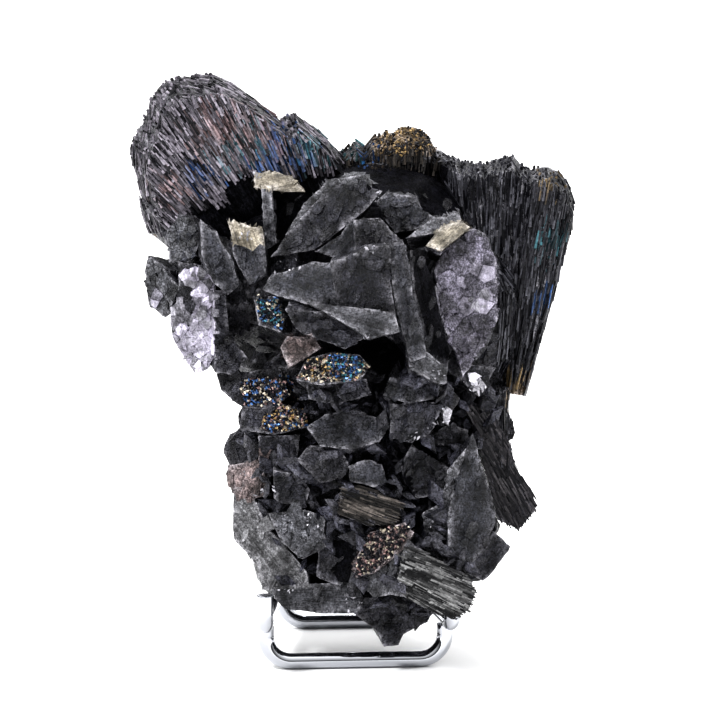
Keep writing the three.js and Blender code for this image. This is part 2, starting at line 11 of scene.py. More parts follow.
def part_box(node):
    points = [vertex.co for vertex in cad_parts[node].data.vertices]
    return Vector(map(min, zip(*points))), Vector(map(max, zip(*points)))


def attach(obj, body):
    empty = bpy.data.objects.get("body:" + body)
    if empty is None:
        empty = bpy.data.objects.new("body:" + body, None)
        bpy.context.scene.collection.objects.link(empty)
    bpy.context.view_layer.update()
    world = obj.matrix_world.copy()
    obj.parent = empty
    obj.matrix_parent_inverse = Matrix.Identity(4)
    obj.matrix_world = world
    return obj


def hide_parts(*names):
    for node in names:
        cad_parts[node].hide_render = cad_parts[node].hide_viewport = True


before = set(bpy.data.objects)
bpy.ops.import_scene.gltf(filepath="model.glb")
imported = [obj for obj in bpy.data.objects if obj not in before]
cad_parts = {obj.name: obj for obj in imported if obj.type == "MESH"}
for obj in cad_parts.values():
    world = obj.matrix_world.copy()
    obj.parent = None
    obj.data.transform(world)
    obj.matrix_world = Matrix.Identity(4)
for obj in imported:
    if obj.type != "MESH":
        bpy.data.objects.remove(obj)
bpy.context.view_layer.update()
mm = 0.001
chance = random.Random(41)

# the front elevation, in mm: places on the specimen are given as the camera sees them
view = {"distance": 600, "rise": 8, "aimX": 2, "aimZ": 60, "aimHeight": 61, "width": 144}
footMiddle = Vector((1.122, -8.277, 0))  # the front foot's middle in that elevation's frame

rise = math.radians(view["rise"])
footLow, footHigh = (Vector(corner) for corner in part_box("front_foot"))
shift = (footLow + footHigh) / 2 - footMiddle * mm
shift.z = 0
aim = Vector((view["aimX"], 0, view["aimHeight"])) * mm + shift
forward = Vector((0, math.cos(rise), -math.sin(rise)))
upward = Vector((0, math.sin(rise), math.cos(rise)))
eye = aim - forward * view["distance"] * mm


def sightRay(x, z):
    onPlane = aim + Vector((x - view["aimX"], 0, 0)) * mm + upward * (z - view["aimZ"]) * mm
    return (onPlane - eye).normalized()


def seenFrom(point):
    away = point - eye
    scale = view["distance"] * mm / away.dot(forward)
    return (view["aimX"] + away.x * scale / mm, view["aimZ"] + away.dot(upward) * scale / mm)


def inside(outline, x, z):
    within = False
    previous = outline[-1]
    for corner in outline:
        if (corner[1] > z) != (previous[1] > z):
            slope = (previous[0] - corner[0]) / (previous[1] - corner[1])
            if x < corner[0] + slope * (z - corner[1]):
                within = not within
        previous = corner
    return within


spotTries = 14  # draws for each spot that could fit


def spotsIn(outline, spacing):
    xs = [corner[0] for corner in outline]
    zs = [corner[1] for corner in outline]
    taken = {}
    spots = []
    tries = int(spotTries * (max(xs) - min(xs)) * (max(zs) - min(zs)) / spacing ** 2)
    for attempt in range(tries):
        x = chance.uniform(min(xs), max(xs))
        z = chance.uniform(min(zs), max(zs))
        column, row = int(x // spacing), int(z // spacing)
        around = [(column + right, row + up) for right in (-1, 0, 1) for up in (-1, 0, 1)]
        close = [taken[cell] for cell in around if cell in taken]
        if all(math.dist((x, z), other) > spacing for other in close) and inside(outline, x, z):
            taken[(column, row)] = (x, z)
            spots.append((x, z))
    return spots


# the specimen's solid, merged, to lay things on
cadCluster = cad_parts["crystal_cluster"]
solidMesh = bmesh.new()
solidMesh.from_mesh(cadCluster.data)
bmesh.ops.remove_doubles(solidMesh, verts=solidMesh.verts, dist=1e-6)
solidTree = BVHTree.FromBMesh(solidMesh)


def onFront(x, z):
    spot, normal, index, reach = solidTree.ray_cast(eye, sightRay(x, z))
    return (spot, normal) if spot else None


def onBack(x, z):
    start = eye + sightRay(x, z) * 0.9
    spot, normal, index, reach = solidTree.ray_cast(start, -sightRay(x, z))
    return (spot, normal) if spot else None


# materials
def newMaterial(name):
    material = bpy.data.materials.new(name)
    material.use_nodes = True
    nodes = material.node_tree.nodes
    return material, nodes, material.node_tree.links, nodes["Principled BSDF"]


def attributeOf(nodes, name):
    node = nodes.new("ShaderNodeAttribute")
    node.attribute_name = name
    return node


def noiseOf(nodes, links, vector, scale, detail=4.0, roughness=0.6):
    node = nodes.new("ShaderNodeTexNoise")
    node.inputs["Scale"].default_value = scale
    node.inputs["Detail"].default_value = detail
    node.inputs["Roughness"].default_value = roughness
    links.new(vector, node.inputs["Vector"])
    return node


def rangeOf(nodes, links, value, fromLow, fromHigh, toLow, toHigh):
    node = nodes.new("ShaderNodeMapRange")
    node.inputs["From Min"].default_value = fromLow
    node.inputs["From Max"].default_value = fromHigh
    node.inputs["To Min"].default_value = toLow
    node.inputs["To Max"].default_value = toHigh
    links.new(value, node.inputs["Value"])
    return node.outputs["Result"]


def mathOf(nodes, links, kind, first, second):
    node = nodes.new("ShaderNodeMath")
    node.operation = kind
    for socket, value in zip(node.inputs, (first, second)):
        if isinstance(value, (int, float)):
            socket.default_value = value
        else:
            links.new(value, socket)
    return node.outputs[0]


def vectorOf(nodes, links, kind, first, second):
    node = nodes.new("ShaderNodeVectorMath")
    node.operation = kind
    for socket, value in zip(node.inputs, (first, second)):
        if isinstance(value, tuple):
            socket.default_value = value
        else:
            links.new(value, socket)
    return node.outputs[0]


def scaledBy(nodes, links, vector, factor):
    node = nodes.new("ShaderNodeVectorMath")
    node.operation = "SCALE"
    links.new(vector, node.inputs[0])
    if isinstance(factor, (int, float)):
        node.inputs["Scale"].default_value = factor
    else:
        links.new(factor, node.inputs["Scale"])
    return node.outputs[0]


def coloured(nodes, links, strength, colour):
    node = nodes.new("ShaderNodeCombineXYZ")
    for socket, share in zip(node.inputs, colour):
        links.new(mathOf(nodes, links, "MULTIPLY", strength, share), socket)
    return node.outputs[0]


# calcite: how fine its noises are (per metre), how its grain is drawn out along, across and from
# face to face, and the colours of its frost and chips, its painted rim highlights
calciteLook = {
    "cloud": 260, "mottle": 1100, "speckle": 3300, "facetSize": 1700, "streak": (0.1, 2.2, 1.0),
    "frostHighlight": (0.94, 0.92, 1.0), "chipGlints": (0.95, 0.93, 1.0), "bumpHeight": 0.0006, "glossAndShade": 0.36,
}


def calciteNoises(nodes, links, place):
    grain = attributeOf(nodes, "grain").outputs["Vector"]
    drawnOut = vectorOf(nodes, links, "MULTIPLY", grain, calciteLook["streak"])
    return {
        "cloud": noiseOf(nodes, links, place, calciteLook["cloud"], 3.0, 0.6).outputs["Fac"],
        "mottle": noiseOf(nodes, links, place, calciteLook["mottle"], 5.0, 0.7).outputs["Fac"],
        "speckle": noiseOf(nodes, links, place, calciteLook["speckle"], 2.0, 0.6).outputs["Fac"],
        "streak": noiseOf(nodes, links, drawnOut, 1.0, 6.0, 0.75).outputs["Fac"],
    }


# how light a face's tint is from point to point: clouded, streaked along its grain and speckled
def calciteShade(nodes, links, tint, streaky, noises):
    shade = rangeOf(nodes, links, noises["cloud"], 0.32, 0.68, 0.35, 1.6)
    lines = rangeOf(nodes, links, noises["streak"], 0.34, 0.66, -0.85, 1.1)
    lines = mathOf(nodes, links, "MULTIPLY", lines, streaky)
    lines = mathOf(nodes, links, "ADD", lines, 1.0)
    lines = mathOf(nodes, links, "MAXIMUM", lines, 0.05)
    grains = mathOf(nodes, links, "MULTIPLY", noises["speckle"], noises["mottle"])
    grains = rangeOf(nodes, links, grains, 0.2, 0.4, 0.3, 2.6)
    # pale and streaky faces are less speckled
    paleness = nodes.new("ShaderNodeRGBToBW")
    links.new(tint, paleness.inputs[0])
    calm = rangeOf(nodes, links, paleness.outputs[0], 0.03, 0.22, 0.0, 0.72)
    calm = mathOf(nodes, links, "MAXIMUM", calm, mathOf(nodes, links, "MULTIPLY", streaky, 0.45))
    evened = mathOf(nodes, links, "SUBTRACT", 1.0, grains)
    grains = mathOf(nodes, links, "ADD", grains, mathOf(nodes, links, "MULTIPLY", calm, evened))
    shade = mathOf(nodes, links, "MULTIPLY", shade, lines)
    return mathOf(nodes, links, "MULTIPLY", shade, grains)


# frost near the edges, and paler chips along them: partly the edges' own frost and chips, partly painted
# highlight
def calciteRimHighlights(nodes, links, rimHighlight, noises):
    frostHighlight = rangeOf(nodes, links, noises["speckle"], 0.4, 0.66, 0.0, 0.13)
    frostHighlight = mathOf(nodes, links, "MULTIPLY", rimHighlight, frostHighlight)
    patches = rangeOf(nodes, links, noises["cloud"], 0.36, 0.6, 0.1, 1.2)
    frostHighlight = mathOf(nodes, links, "MULTIPLY", frostHighlight, patches)
    chipGlints = rangeOf(nodes, links, noises["mottle"], 0.42, 0.62, 0.0, 0.42)
    chipGlints = mathOf(nodes, links, "MULTIPLY", mathOf(nodes, links, "POWER", rimHighlight, 4.0), chipGlints)
    patches = rangeOf(nodes, links, noises["cloud"], 0.4, 0.58, 0.15, 1.0)
    chipGlints = mathOf(nodes, links, "MULTIPLY", chipGlints, patches)
    return (coloured(nodes, links, frostHighlight, calciteLook["frostHighlight"]),
            coloured(nodes, links, chipGlints, calciteLook["chipGlints"]))


# small facets that catch the light each in its own way, then fine striations
def calciteFacing(nodes, links, place, scaly, streaky, noises):
    cells = nodes.new("ShaderNodeTexVoronoi")
    cells.inputs["Scale"].default_value = calciteLook["facetSize"]
    links.new(place, cells.inputs["Vector"])
    around = vectorOf(nodes, links, "SUBTRACT", cells.outputs["Color"], (0.5, 0.5, 0.5))
    around = scaledBy(nodes, links, around, scaly)
    facing = nodes.new("ShaderNodeNewGeometry").outputs["Normal"]
    facing = vectorOf(nodes, links, "ADD", facing, around)
    facing = vectorOf(nodes, links, "NORMALIZE", facing, (0, 0, 0))
    height = mathOf(nodes, links, "MULTIPLY", streaky, 1.6)
    height = mathOf(nodes, links, "MULTIPLY", noises["streak"], height)
    rough = mathOf(nodes, links, "ADD", mathOf(nodes, links, "MULTIPLY", scaly, 1.3), 0.2)
    rough = mathOf(nodes, links, "MULTIPLY", noises["mottle"], rough)
    height = mathOf(nodes, links, "ADD", height, rough)
    bump = nodes.new("ShaderNodeBump")
    bump.inputs["Strength"].default_value = 0.9
    bump.inputs["Distance"].default_value = calciteLook["bumpHeight"]
    links.new(height, bump.inputs["Height"])
    links.new(facing, bump.inputs["Normal"])
    return bump.outputs["Normal"]


# reads a piece's own attributes: tint (its alpha is the gloss, cut low where shade is painted),
# finish and rim light (scaly, streaky, and the painted rim highlight of frost and chips) and grain
def calciteMaterial():
    material, nodes, links, shader = newMaterial("calcite")
    place = nodes.new("ShaderNodeTexCoord").outputs["Object"]
    tint = attributeOf(nodes, "tint")
    finishAndRimLight = nodes.new("ShaderNodeSeparateXYZ")
    links.new(attributeOf(nodes, "finishAndRimLight").outputs["Vector"], finishAndRimLight.inputs[0])
    scaly, streaky, rimHighlight = finishAndRimLight.outputs
    noises = calciteNoises(nodes, links, place)
    shade = calciteShade(nodes, links, tint.outputs["Color"], streaky, noises)
    colour = scaledBy(nodes, links, tint.outputs["Color"], shade)
    for crust in calciteRimHighlights(nodes, links, rimHighlight, noises):
        colour = vectorOf(nodes, links, "ADD", colour, crust)
    links.new(colour, shader.inputs["Base Color"])
    links.new(calciteFacing(nodes, links, place, scaly, streaky, noises), shader.inputs["Normal"])
    links.new(rangeOf(nodes, links, noises["mottle"], 0.3, 0.7, 0.16, 0.42), shader.inputs["Roughness"])
    # the tint's alpha cuts the shine, low where shade is painted
    glossAndShade = mathOf(nodes, links, "MULTIPLY", tint.outputs["Alpha"], calciteLook["glossAndShade"])
    links.new(glossAndShade, shader.inputs["Specular IOR Level"])
    return material


def fibreMaterial():
    material, nodes, links, shader = newMaterial("fibres")
    place = nodes.new("ShaderNodeTexCoord").outputs["Object"]
    tint = attributeOf(nodes, "tint")
    mottle = noiseOf(nodes, links, place, 1500, 5.0, 0.65).outputs["Fac"]
    colour = scaledBy(nodes, links, tint.outputs["Color"], rangeOf(nodes, links, mottle, 0.3, 0.7, 0.4, 1.6))
    links.new(colour, shader.inputs["Base Color"])
    bump = nodes.new("ShaderNodeBump")
    bump.inputs["Strength"].default_value = 0.5
    bump.inputs["Distance"].default_value = 0.0002
    links.new(mottle, bump.inputs["Height"])
    links.new(bump.outputs["Normal"], shader.inputs["Normal"])
    links.new(rangeOf(nodes, links, mottle, 0.3, 0.7, 0.3, 0.5), shader.inputs["Roughness"])
    shader.inputs["Specular IOR Level"].default_value = 0.28
    return material


def druseMaterial():
    material, nodes, links, shader = newMaterial("tarnishedDruse")
    place = nodes.new("ShaderNodeTexCoord").outputs["Object"]
    tint = attributeOf(nodes, "tint")
    mottle = noiseOf(nodes, links, place, 1800, 3.0, 0.6).outputs["Fac"]
    colour = scaledBy(nodes, links, tint.outputs["Color"], rangeOf(nodes, links, mottle, 0.3, 0.7, 0.6, 1.4))
    links.new(colour, shader.inputs["Base Color"])
    links.new(rangeOf(nodes, links, mottle, 0.3, 0.7, 0.22, 0.42), shader.inputs["Roughness"])
    shader.inputs["Metallic"].default_value = 0.55
    return material


def chromeMaterial():
    material, nodes, links, shader = newMaterial("chrome")
    place = nodes.new("ShaderNodeTexCoord").outputs["Object"]
    haze = noiseOf(nodes, links, place, 400, 3.0, 0.5).outputs["Fac"]
    links.new(rangeOf(nodes, links, haze, 0.3, 0.7, 0.03, 0.09), shader.inputs["Roughness"])
    shader.inputs["Base Color"].default_value = (0.5, 0.51, 0.54, 1)
    shader.inputs["Metallic"].default_value = 1.0
    return material


def floorMaterial():
    material, nodes, links, shader = newMaterial("floorPaint")
    shader.inputs["Base Color"].default_value = (0.93, 0.93, 0.93, 1)
    shader.inputs["Roughness"].default_value = 0.7
    shader.inputs["Specular IOR Level"].default_value = 0.1
    return material


calcite = calciteMaterial()
fibre = fibreMaterial()
druse = druseMaterial()
chrome = chromeMaterial()
print("materials made")

# tints of the mineral, as linear colour
tints = {
    "shadowBlack": (0.004, 0.004, 0.006),
    "charcoal": (0.0056, 0.0059, 0.0098),
    "slate": (0.015, 0.016, 0.021),
    "grey": (0.048, 0.049, 0.055),
    "pale": (0.18, 0.175, 0.198),
    "silver": (0.36, 0.34, 0.41),
    "highlit": (0.6, 0.59, 0.64),
    "cream": (0.2, 0.178, 0.14),
    "tan": (0.13, 0.09, 0.05),
    "rose": (0.10, 0.078, 0.076),
    "satin": (0.105, 0.105, 0.11),
    "lilac": (0.075, 0.07, 0.09),
}

# faces that differ from the plain charcoal: outline in the front elevation, tint, how scaly and
# how streaky the face is, and how much it shines where that isn't 1; the shadow-black faces
# are painted shade, with their shine cut low as well
zones = [
    {"face": [(-36.8, 86), (-34.5, 89.4), (-31.5, 89), (-30, 83), (-31.5, 79.2), (-37.3, 80)],
     "tint": "slate", "finishAndRimLight": (0.7, 0.2)},
    {"face": [(-40.6, 81), (-41.8, 75.5), (-40, 70), (-36.5, 68), (-35.6, 71), (-37.2, 78.4)],
     "tint": "grey", "finishAndRimLight": (0.8, 0.1)},
    {"face": [(-37.4, 78.6), (-33.6, 74.4), (-35.8, 70.6), (-38.9, 75)],
     "tint": "grey", "finishAndRimLight": (0.5, 0.2)},
    {"face": [(-36, 70.5), (-34.2, 72.2), (-31, 68.2), (-33, 66), (-36.2, 66.5)],
     "tint": "pale", "finishAndRimLight": (0.6, 0.1)},
    {"face": [(-34, 77), (-30, 79), (-27.4, 76), (-26.9, 70), (-27, 62), (-28.5, 57.6), (-31, 56.6),
              (-36.4, 65), (-33.4, 66), (-31, 68.2)],
     "tint": "silver", "finishAndRimLight": (0.9, 0.1)},
    {"face": [(-30, 88.2), (-26.6, 85.8), (-23.4, 80), (-22, 75), (-24.4, 73), (-27.4, 75.6),
              (-29.6, 80.4)],
     "tint": "slate", "finishAndRimLight": (0.2, 0.8)},
    {"face": [(-24.6, 88), (-17.4, 86.6), (-17, 83), (-20, 82.2), (-23.4, 83)],
     "tint": "cream", "finishAndRimLight": (0.4, 0.6)},
    {"face": [(-23.4, 83), (-17, 83), (-16.4, 76.8), (-20.4, 75)], "tint": "slate", "finishAndRimLight": (0.3, 0.9)},
    {"face": [(-19.4, 97.8), (-12, 97.4), (-8.6, 93.6), (-13, 93.4), (-19.4, 94.4)],
     "tint": "cream", "finishAndRimLight": (0.3, 0.5)},
    {"face": [(-17.8, 95), (-15.6, 95), (-14.4, 83), (-17, 81.6)], "tint": "grey", "finishAndRimLight": (0.2, 0.9)},
    {"face": [(-13, 85), (-9.5, 91), (-4.5, 96.4), (-2, 96.3), (-6, 92.6), (-11.5, 86.4)],
     "tint": "grey", "finishAndRimLight": (0.2, 0.7)},
    {"face": [(-3, 95.6), (-0.5, 97.6), (3, 97.6), (5.6, 95.2), (2, 94.6)],
     "tint": "grey", "finishAndRimLight": (0.3, 0.4)},
    {"face": [(-16, 80.3), (-11.6, 86.4), (-6, 92.6), (-3, 95.6), (2, 94.6), (6.6, 93.8), (3, 89.7),
              (-7, 82)],
     "tint": "charcoal", "finishAndRimLight": (0.35, 0.5)},
    {"face": [(-7.6, 81.8), (-2, 85.4), (0.9, 88.3), (1.2, 82), (-3, 80.3)],
     "tint": "slate", "finishAndRimLight": (0.3, 0.8)},
    {"face": [(0.9, 88.3), (6, 88.6), (10.6, 84.2), (8, 82.4), (1.2, 82)],
     "tint": "charcoal", "finishAndRimLight": (0.6, 0.4)},
    {"face": [(-17.6, 74), (-15.8, 77.6), (-8, 80), (-3.6, 79.5), (-2.5, 71), (-9, 71), (-14.5, 72.6)],
     "tint": "slate", "finishAndRimLight": (0.3, 0.7)},
    {"face": [(-9, 71.8), (-2, 71), (9.3, 69.6), (10.2, 65.6), (4, 63.8), (-4, 69)],
     "tint": "grey", "finishAndRimLight": (0.2, 1.2)},
    {"face": [(-4, 79.5), (4, 83), (8.5, 83), (8, 76), (9.4, 68.5), (-2.5, 70.5)],
     "tint": "charcoal", "finishAndRimLight": (0.3, 0.6)},
    {"face": [(7.6, 83), (10.6, 84.4), (12, 80), (12.6, 74), (15.2, 64), (15.6, 60.4), (11.8, 59.4),
              (9.5, 69)],
     "tint": "slate", "finishAndRimLight": (0.3, 1.1)},
    {"face": [(11.2, 62), (15.5, 61.8), (19.8, 58.4), (19.7, 55.2), (17.5, 55), (11.8, 58.2)],
     "tint": "grey", "finishAndRimLight": (0.3, 0.6)},
    {"face": [(15, 82.8), (18, 86.8), (22.4, 88.2), (24.6, 86.6), (18.2, 81.6)],
     "tint": "cream", "finishAndRimLight": (0.3, 0.7)},
    {"face": [(11, 84.2), (16, 88.2), (22, 90.3), (22.6, 88), (18, 85.2)],
     "tint": "grey", "finishAndRimLight": (0.2, 0.8)},
    {"face": [(24, 73), (27, 75), (28.6, 71), (27.6, 67), (24.6, 67)],
     "tint": "pale", "finishAndRimLight": (0.8, 0.1)},
    {"face": [(16.8, 78), (18.2, 82), (24.8, 86.8), (29.6, 80), (30.1, 69), (22.6, 56.2), (19, 66),
              (17.6, 71)],
     "tint": "lilac", "finishAndRimLight": (0.9, 0.1)},
    {"face": [(5.4, 92), (7.4, 93.8), (13.4, 93.2), (14.4, 90), (17.6, 88.3), (14, 86), (9, 85.2),
              (6.2, 88.6)],
     "tint": "slate", "finishAndRimLight": (0.8, 0.2)},
    {"face": [(-14.2, 62.5), (-12.6, 65.2), (-7, 65), (-5.6, 62.4), (-9.4, 59.8), (-12.4, 58.2)],
     "tint": "rose", "finishAndRimLight": (0.5, 0.3)},
    {"face": [(-11, 56), (-9, 60.4), (-3, 62), (2, 61.2), (4.2, 58.6), (2, 55.6), (-6, 54.8)],
     "tint": "slate", "finishAndRimLight": (0.8, 0.1)},
    {"face": [(-9, 46.6), (-5, 49.4), (0, 50.8), (8.6, 47.5), (6, 43.4), (0, 41.8), (-6, 42.6)],
     "tint": "slate", "finishAndRimLight": (0.5, 0.5)},
    {"face": [(6.2, 53), (8, 56.8), (13, 56.8), (17.8, 54.8), (17.2, 52.2), (12, 51)],
     "tint": "slate", "finishAndRimLight": (0.4, 0.3)},
    # painted glints: small highlit faces
    {"face": [(24, 56.5), (27.4, 55.6), (25.8, 52.4)], "tint": "highlit", "finishAndRimLight": (0.5, 0.1)},
    {"face": [(18.6, 50.2), (20.9, 50.2), (20.7, 48.2), (19.7, 46.6), (18.6, 48.2)],
     "tint": "highlit", "finishAndRimLight": (0.4, 0.1)},
    {"face": [(-25, 37), (-24.4, 39.2), (-20, 39.6), (-17.4, 42.6), (-16, 33), (-20, 31.8), (-23.8, 33.2)],
     "tint": "rose", "finishAndRimLight": (0.9, 0.1)},
    {"face": [(-23.8, 34.4), (-20.2, 35), (-16.8, 27), (-12.6, 22.4), (-8.6, 17.6), (-8, 14.4),
              (-17.8, 13.8), (-18.8, 19), (-23.8, 24.2)],
     "tint": "satin", "finishAndRimLight": (0.1, 0.7)},
    {"face": [(-16.4, 29.4), (-9, 30.2), (-5, 28.6), (-4.6, 22.6), (-9.6, 20), (-13.8, 23.6)],
     "tint": "grey", "finishAndRimLight": (0.9, 0.1)},
    {"face": [(-15.6, 12.2), (-13, 10), (0.6, 9), (3.6, 11.4), (1, 15.6), (-15.8, 14.8)],
     "tint": "grey", "finishAndRimLight": (0.1, 1.1)},
    {"face": [(-0.6, 38.6), (3, 40.6), (6.8, 39.4), (7.4, 36.2), (5, 34.2), (0, 35.6)],
     "tint": "slate", "finishAndRimLight": (0.3, 0.3)},
    {"face": [(1, 16.4), (0.5, 19.4), (4, 25.8), (11, 27.8), (13.2, 25.6), (10, 21.4), (5, 17.4)],
     "tint": "rose", "finishAndRimLight": (0.9, 0.1)},
    {"face": [(1.4, 15.6), (8, 20.6), (11.6, 24.4), (14.4, 21.6), (12.4, 12.2), (4.6, 12.2)],
     "tint": "grey", "finishAndRimLight": (0.2, 0.8)},
    {"face": [(23.4, 42.6), (19.4, 38.2), (17.8, 31.4), (14, 29.4), (15.2, 23.4), (17.4, 20.2), (20, 19),
              (20, 31)],
     "tint": "grey", "finishAndRimLight": (0.9, 0.2)},
    {"face": [(24.6, 45.8), (26.4, 40), (28.2, 34), (29.7, 28.2), (23.6, 17.4), (19.6, 18.6), (19.7, 30),
              (21, 36)],
     "tint": "slate", "finishAndRimLight": (0.4, 0.4)},
    {"face": [(5, 107.5), (4, 101), (16, 100.6), (18, 103), (12, 108)],
     "tint": "tan", "finishAndRimLight": (0.6, 0.3)},
    {"face": [(30.6, 53), (33, 56), (36.2, 56.6), (34, 52), (31.4, 49.6)],
     "tint": "tan", "finishAndRimLight": (0.6, 0.3)},
    {"face": [(-41, 84.5), (-40.6, 81.4), (-38.4, 82), (-38.8, 85)], "tint": "tan", "finishAndRimLight": (0.6, 0.2)},
    # painted shade: near-black faces with little shine where gaps, undersides and recesses lie in shadow
    {"face": [(29.6, 86.5), (31.2, 86.5), (31.6, 55.6), (29.8, 57.6), (30.5, 70)],
     "tint": "shadowBlack", "finishAndRimLight": (0.3, 0.5), "glossAndShade": 0.15},
    {"face": [(12.5, 82), (16.8, 81.8), (17.3, 72), (19.3, 63.6), (20.2, 60), (16, 61), (15.3, 66),
              (13, 74)],
     "tint": "shadowBlack", "finishAndRimLight": (0.3, 0.9), "glossAndShade": 0.3},
    {"face": [(4, 63.7), (11, 63.2), (11.4, 58), (8, 57), (6, 52.6), (4.4, 53), (4.4, 58.6), (2.6, 61.4)],
     "tint": "shadowBlack", "finishAndRimLight": (0.3, 0.5), "glossAndShade": 0.15},
    {"face": [(10.4, 40), (12.4, 36), (13.4, 31.2), (14, 29), (14.6, 24), (12.6, 25), (11, 29), (11.6, 33)],
     "tint": "shadowBlack", "finishAndRimLight": (0.3, 0.5), "glossAndShade": 0.15},
    {"face": [(-4, 24), (0, 24), (1, 20), (0.4, 16), (-2, 15.4), (-4, 19)],
     "tint": "shadowBlack", "finishAndRimLight": (0.3, 0.5), "glossAndShade": 0.2},
    {"face": [(14, 43.4), (19.5, 43), (21, 39), (17, 40.2), (15, 42)],
     "tint": "shadowBlack", "finishAndRimLight": (0.3, 0.5), "glossAndShade": 0.2},
    {"face": [(-32, 91), (-25, 93.4), (-26, 96), (-19, 98), (-8, 98.2), (-2, 100.4), (4, 99), (19, 99.4),
              (22, 93), (25, 90), (10, 84), (-8, 84), (-28, 84)],
     "tint": "shadowBlack", "finishAndRimLight": (0.3, 0.5), "glossAndShade": 0.12},
]
plain = {"tint": "charcoal", "finishAndRimLight": (0.5, 0.85)}
turnedAway = 0.35  # a face whose normal points further back than this is plain

for zone in zones:
    zone["low"] = [min(corner[axis] for corner in zone["face"]) for axis in (0, 1)]
    zone["high"] = [max(corner[axis] for corner in zone["face"]) for axis in (0, 1)]


def zoneAt(point, normal):
    if normal.y > turnedAway:
        return None
    x, z = seenFrom(point)
    for zone in zones:
        if zone["low"][0] <= x <= zone["high"][0] and zone["low"][1] <= z <= zone["high"][1]:
            if inside(zone["face"], x, z):
                return zone
    return None


# a finished mesh becomes a piece that rides on the one body
def meshFrom(name, mesh):
    data = bpy.data.meshes.new(name)
    mesh.to_mesh(data)
    mesh.free()
    return data


def newPiece(name, data, material, node):
    data.materials.append(material)
    piece = bpy.data.objects.new(name, data)
    bpy.context.scene.collection.objects.link(piece)
    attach(piece, "root")
    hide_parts(node)
    return piece


# the cluster's body: the solid's faces with worn edges, small swells and their own grain; lengths
# in mm, angles in degrees, noise sizes per metre
bodyShape = {
    "frontEdge": 1.45, "backEdge": 2.6, "rounds": 6, "seenUpTo": 0.15, "sharp": 14, "rim": 20,
    "rimHighlightReach": 2.2, "swell": 0.1, "swellSize": 330, "ridge": 0.16, "ridgeSize": (0.1, 0.9), "chip": 0.75,
    "chipSize": 420, "fineSize": 1300, "shades": (0.5, 1.5),
}
facetStep = 3.7  # keeps one facet's noise apart from the next one's


def facetFrames(mesh, layer):
    groups = {}
    for face in mesh.faces:
        reach = face.normal.dot(face.calc_center_median())
        key = (round(face.normal.x, 2), round(face.normal.y, 2), round(face.normal.z, 2), round(reach / mm, 1))
        groups.setdefault(key, []).append(face)
    frames = []
    for index, faces in enumerate(groups.values()):
        points = np.array([vertex.co for face in faces for vertex in face.verts])
        centred = points - points.mean(axis=0)
        spread = np.linalg.svd(centred, full_matrices=False)[2]
        frames.append((Vector(points.mean(axis=0)), Vector(spread[0]), Vector(spread[1])))
        for face in faces:
            face[layer] = index
    return frames


# long edges are cut until the mesh is fine enough, finer where the camera sees it
def cutFiner(mesh):
    for turn in range(bodyShape["rounds"]):
        longEdges = []
        for edge in mesh.edges:
            seen = min(face.normal.y for face in edge.link_faces) < bodyShape["seenUpTo"]
            if edge.calc_length() > bodyShape["frontEdge" if seen else "backEdge"] * mm:
                longEdges.append(edge)
        if not longEdges:
            break
        bmesh.ops.subdivide_edges(mesh, edges=longEdges, cuts=1)
        bmesh.ops.triangulate(mesh, faces=[face for face in mesh.faces if len(face.verts) > 3])
    mesh.normal_update()
    mesh.verts.index_update()


def markSharp(mesh, layer):
    for edge in mesh.edges:
        facets = {face[layer] for face in edge.link_faces}
        edge.smooth = len(facets) < 2 or edge.calc_face_angle(0) < math.radians(bodyShape["sharp"])


# painted rim highlight at each point, with the edges' frost: 1 on an outward edge, fading away from it
def rimHighlightLevelsOf(mesh):
    rim = math.radians(bodyShape["rim"])
    rims = set()
    for edge in mesh.edges:
        if not edge.smooth and edge.is_manifold and edge.calc_face_angle_signed() > rim:
            rims.update(vertex.index for vertex in edge.verts)
    rimTree = KDTree(len(rims))
    for index, vertex in enumerate(mesh.verts):
        if index in rims:
            rimTree.insert(vertex.co, index)
    rimTree.balance()
    reach = bodyShape["rimHighlightReach"] * mm
    return [math.exp(-rimTree.find(vertex.co)[2] / reach) for vertex in mesh.verts]


# edges are chipped inwards, faces swell and are ridged along their grain
def wearDown(mesh, layer, frames):
    alongSize, acrossSize = bodyShape["ridgeSize"]
    moves = []
    for vertex in mesh.verts:
        fine = noise.noise(vertex.co * bodyShape["fineSize"])
        if any(not edge.smooth for edge in vertex.link_edges):
            worn = max(0, noise.noise(vertex.co * bodyShape["chipSize"])) + 0.6 * max(0, fine)
            moves.append(-vertex.normal * worn * bodyShape["chip"] * mm)
        else:
            facet = vertex.link_faces[0][layer]
            middle, along, across = frames[facet]
            away = (vertex.co - middle) / mm
            grain = Vector((away.dot(along) * alongSize, away.dot(across) * acrossSize, facet * facetStep))
            swell = noise.noise(vertex.co * bodyShape["swellSize"]) + 0.5 * fine
            push = swell * bodyShape["swell"] + noise.noise(grain) * bodyShape["ridge"]
            moves.append(vertex.normal * push * mm)
    for vertex, move in zip(mesh.verts, moves):
        vertex.co += move


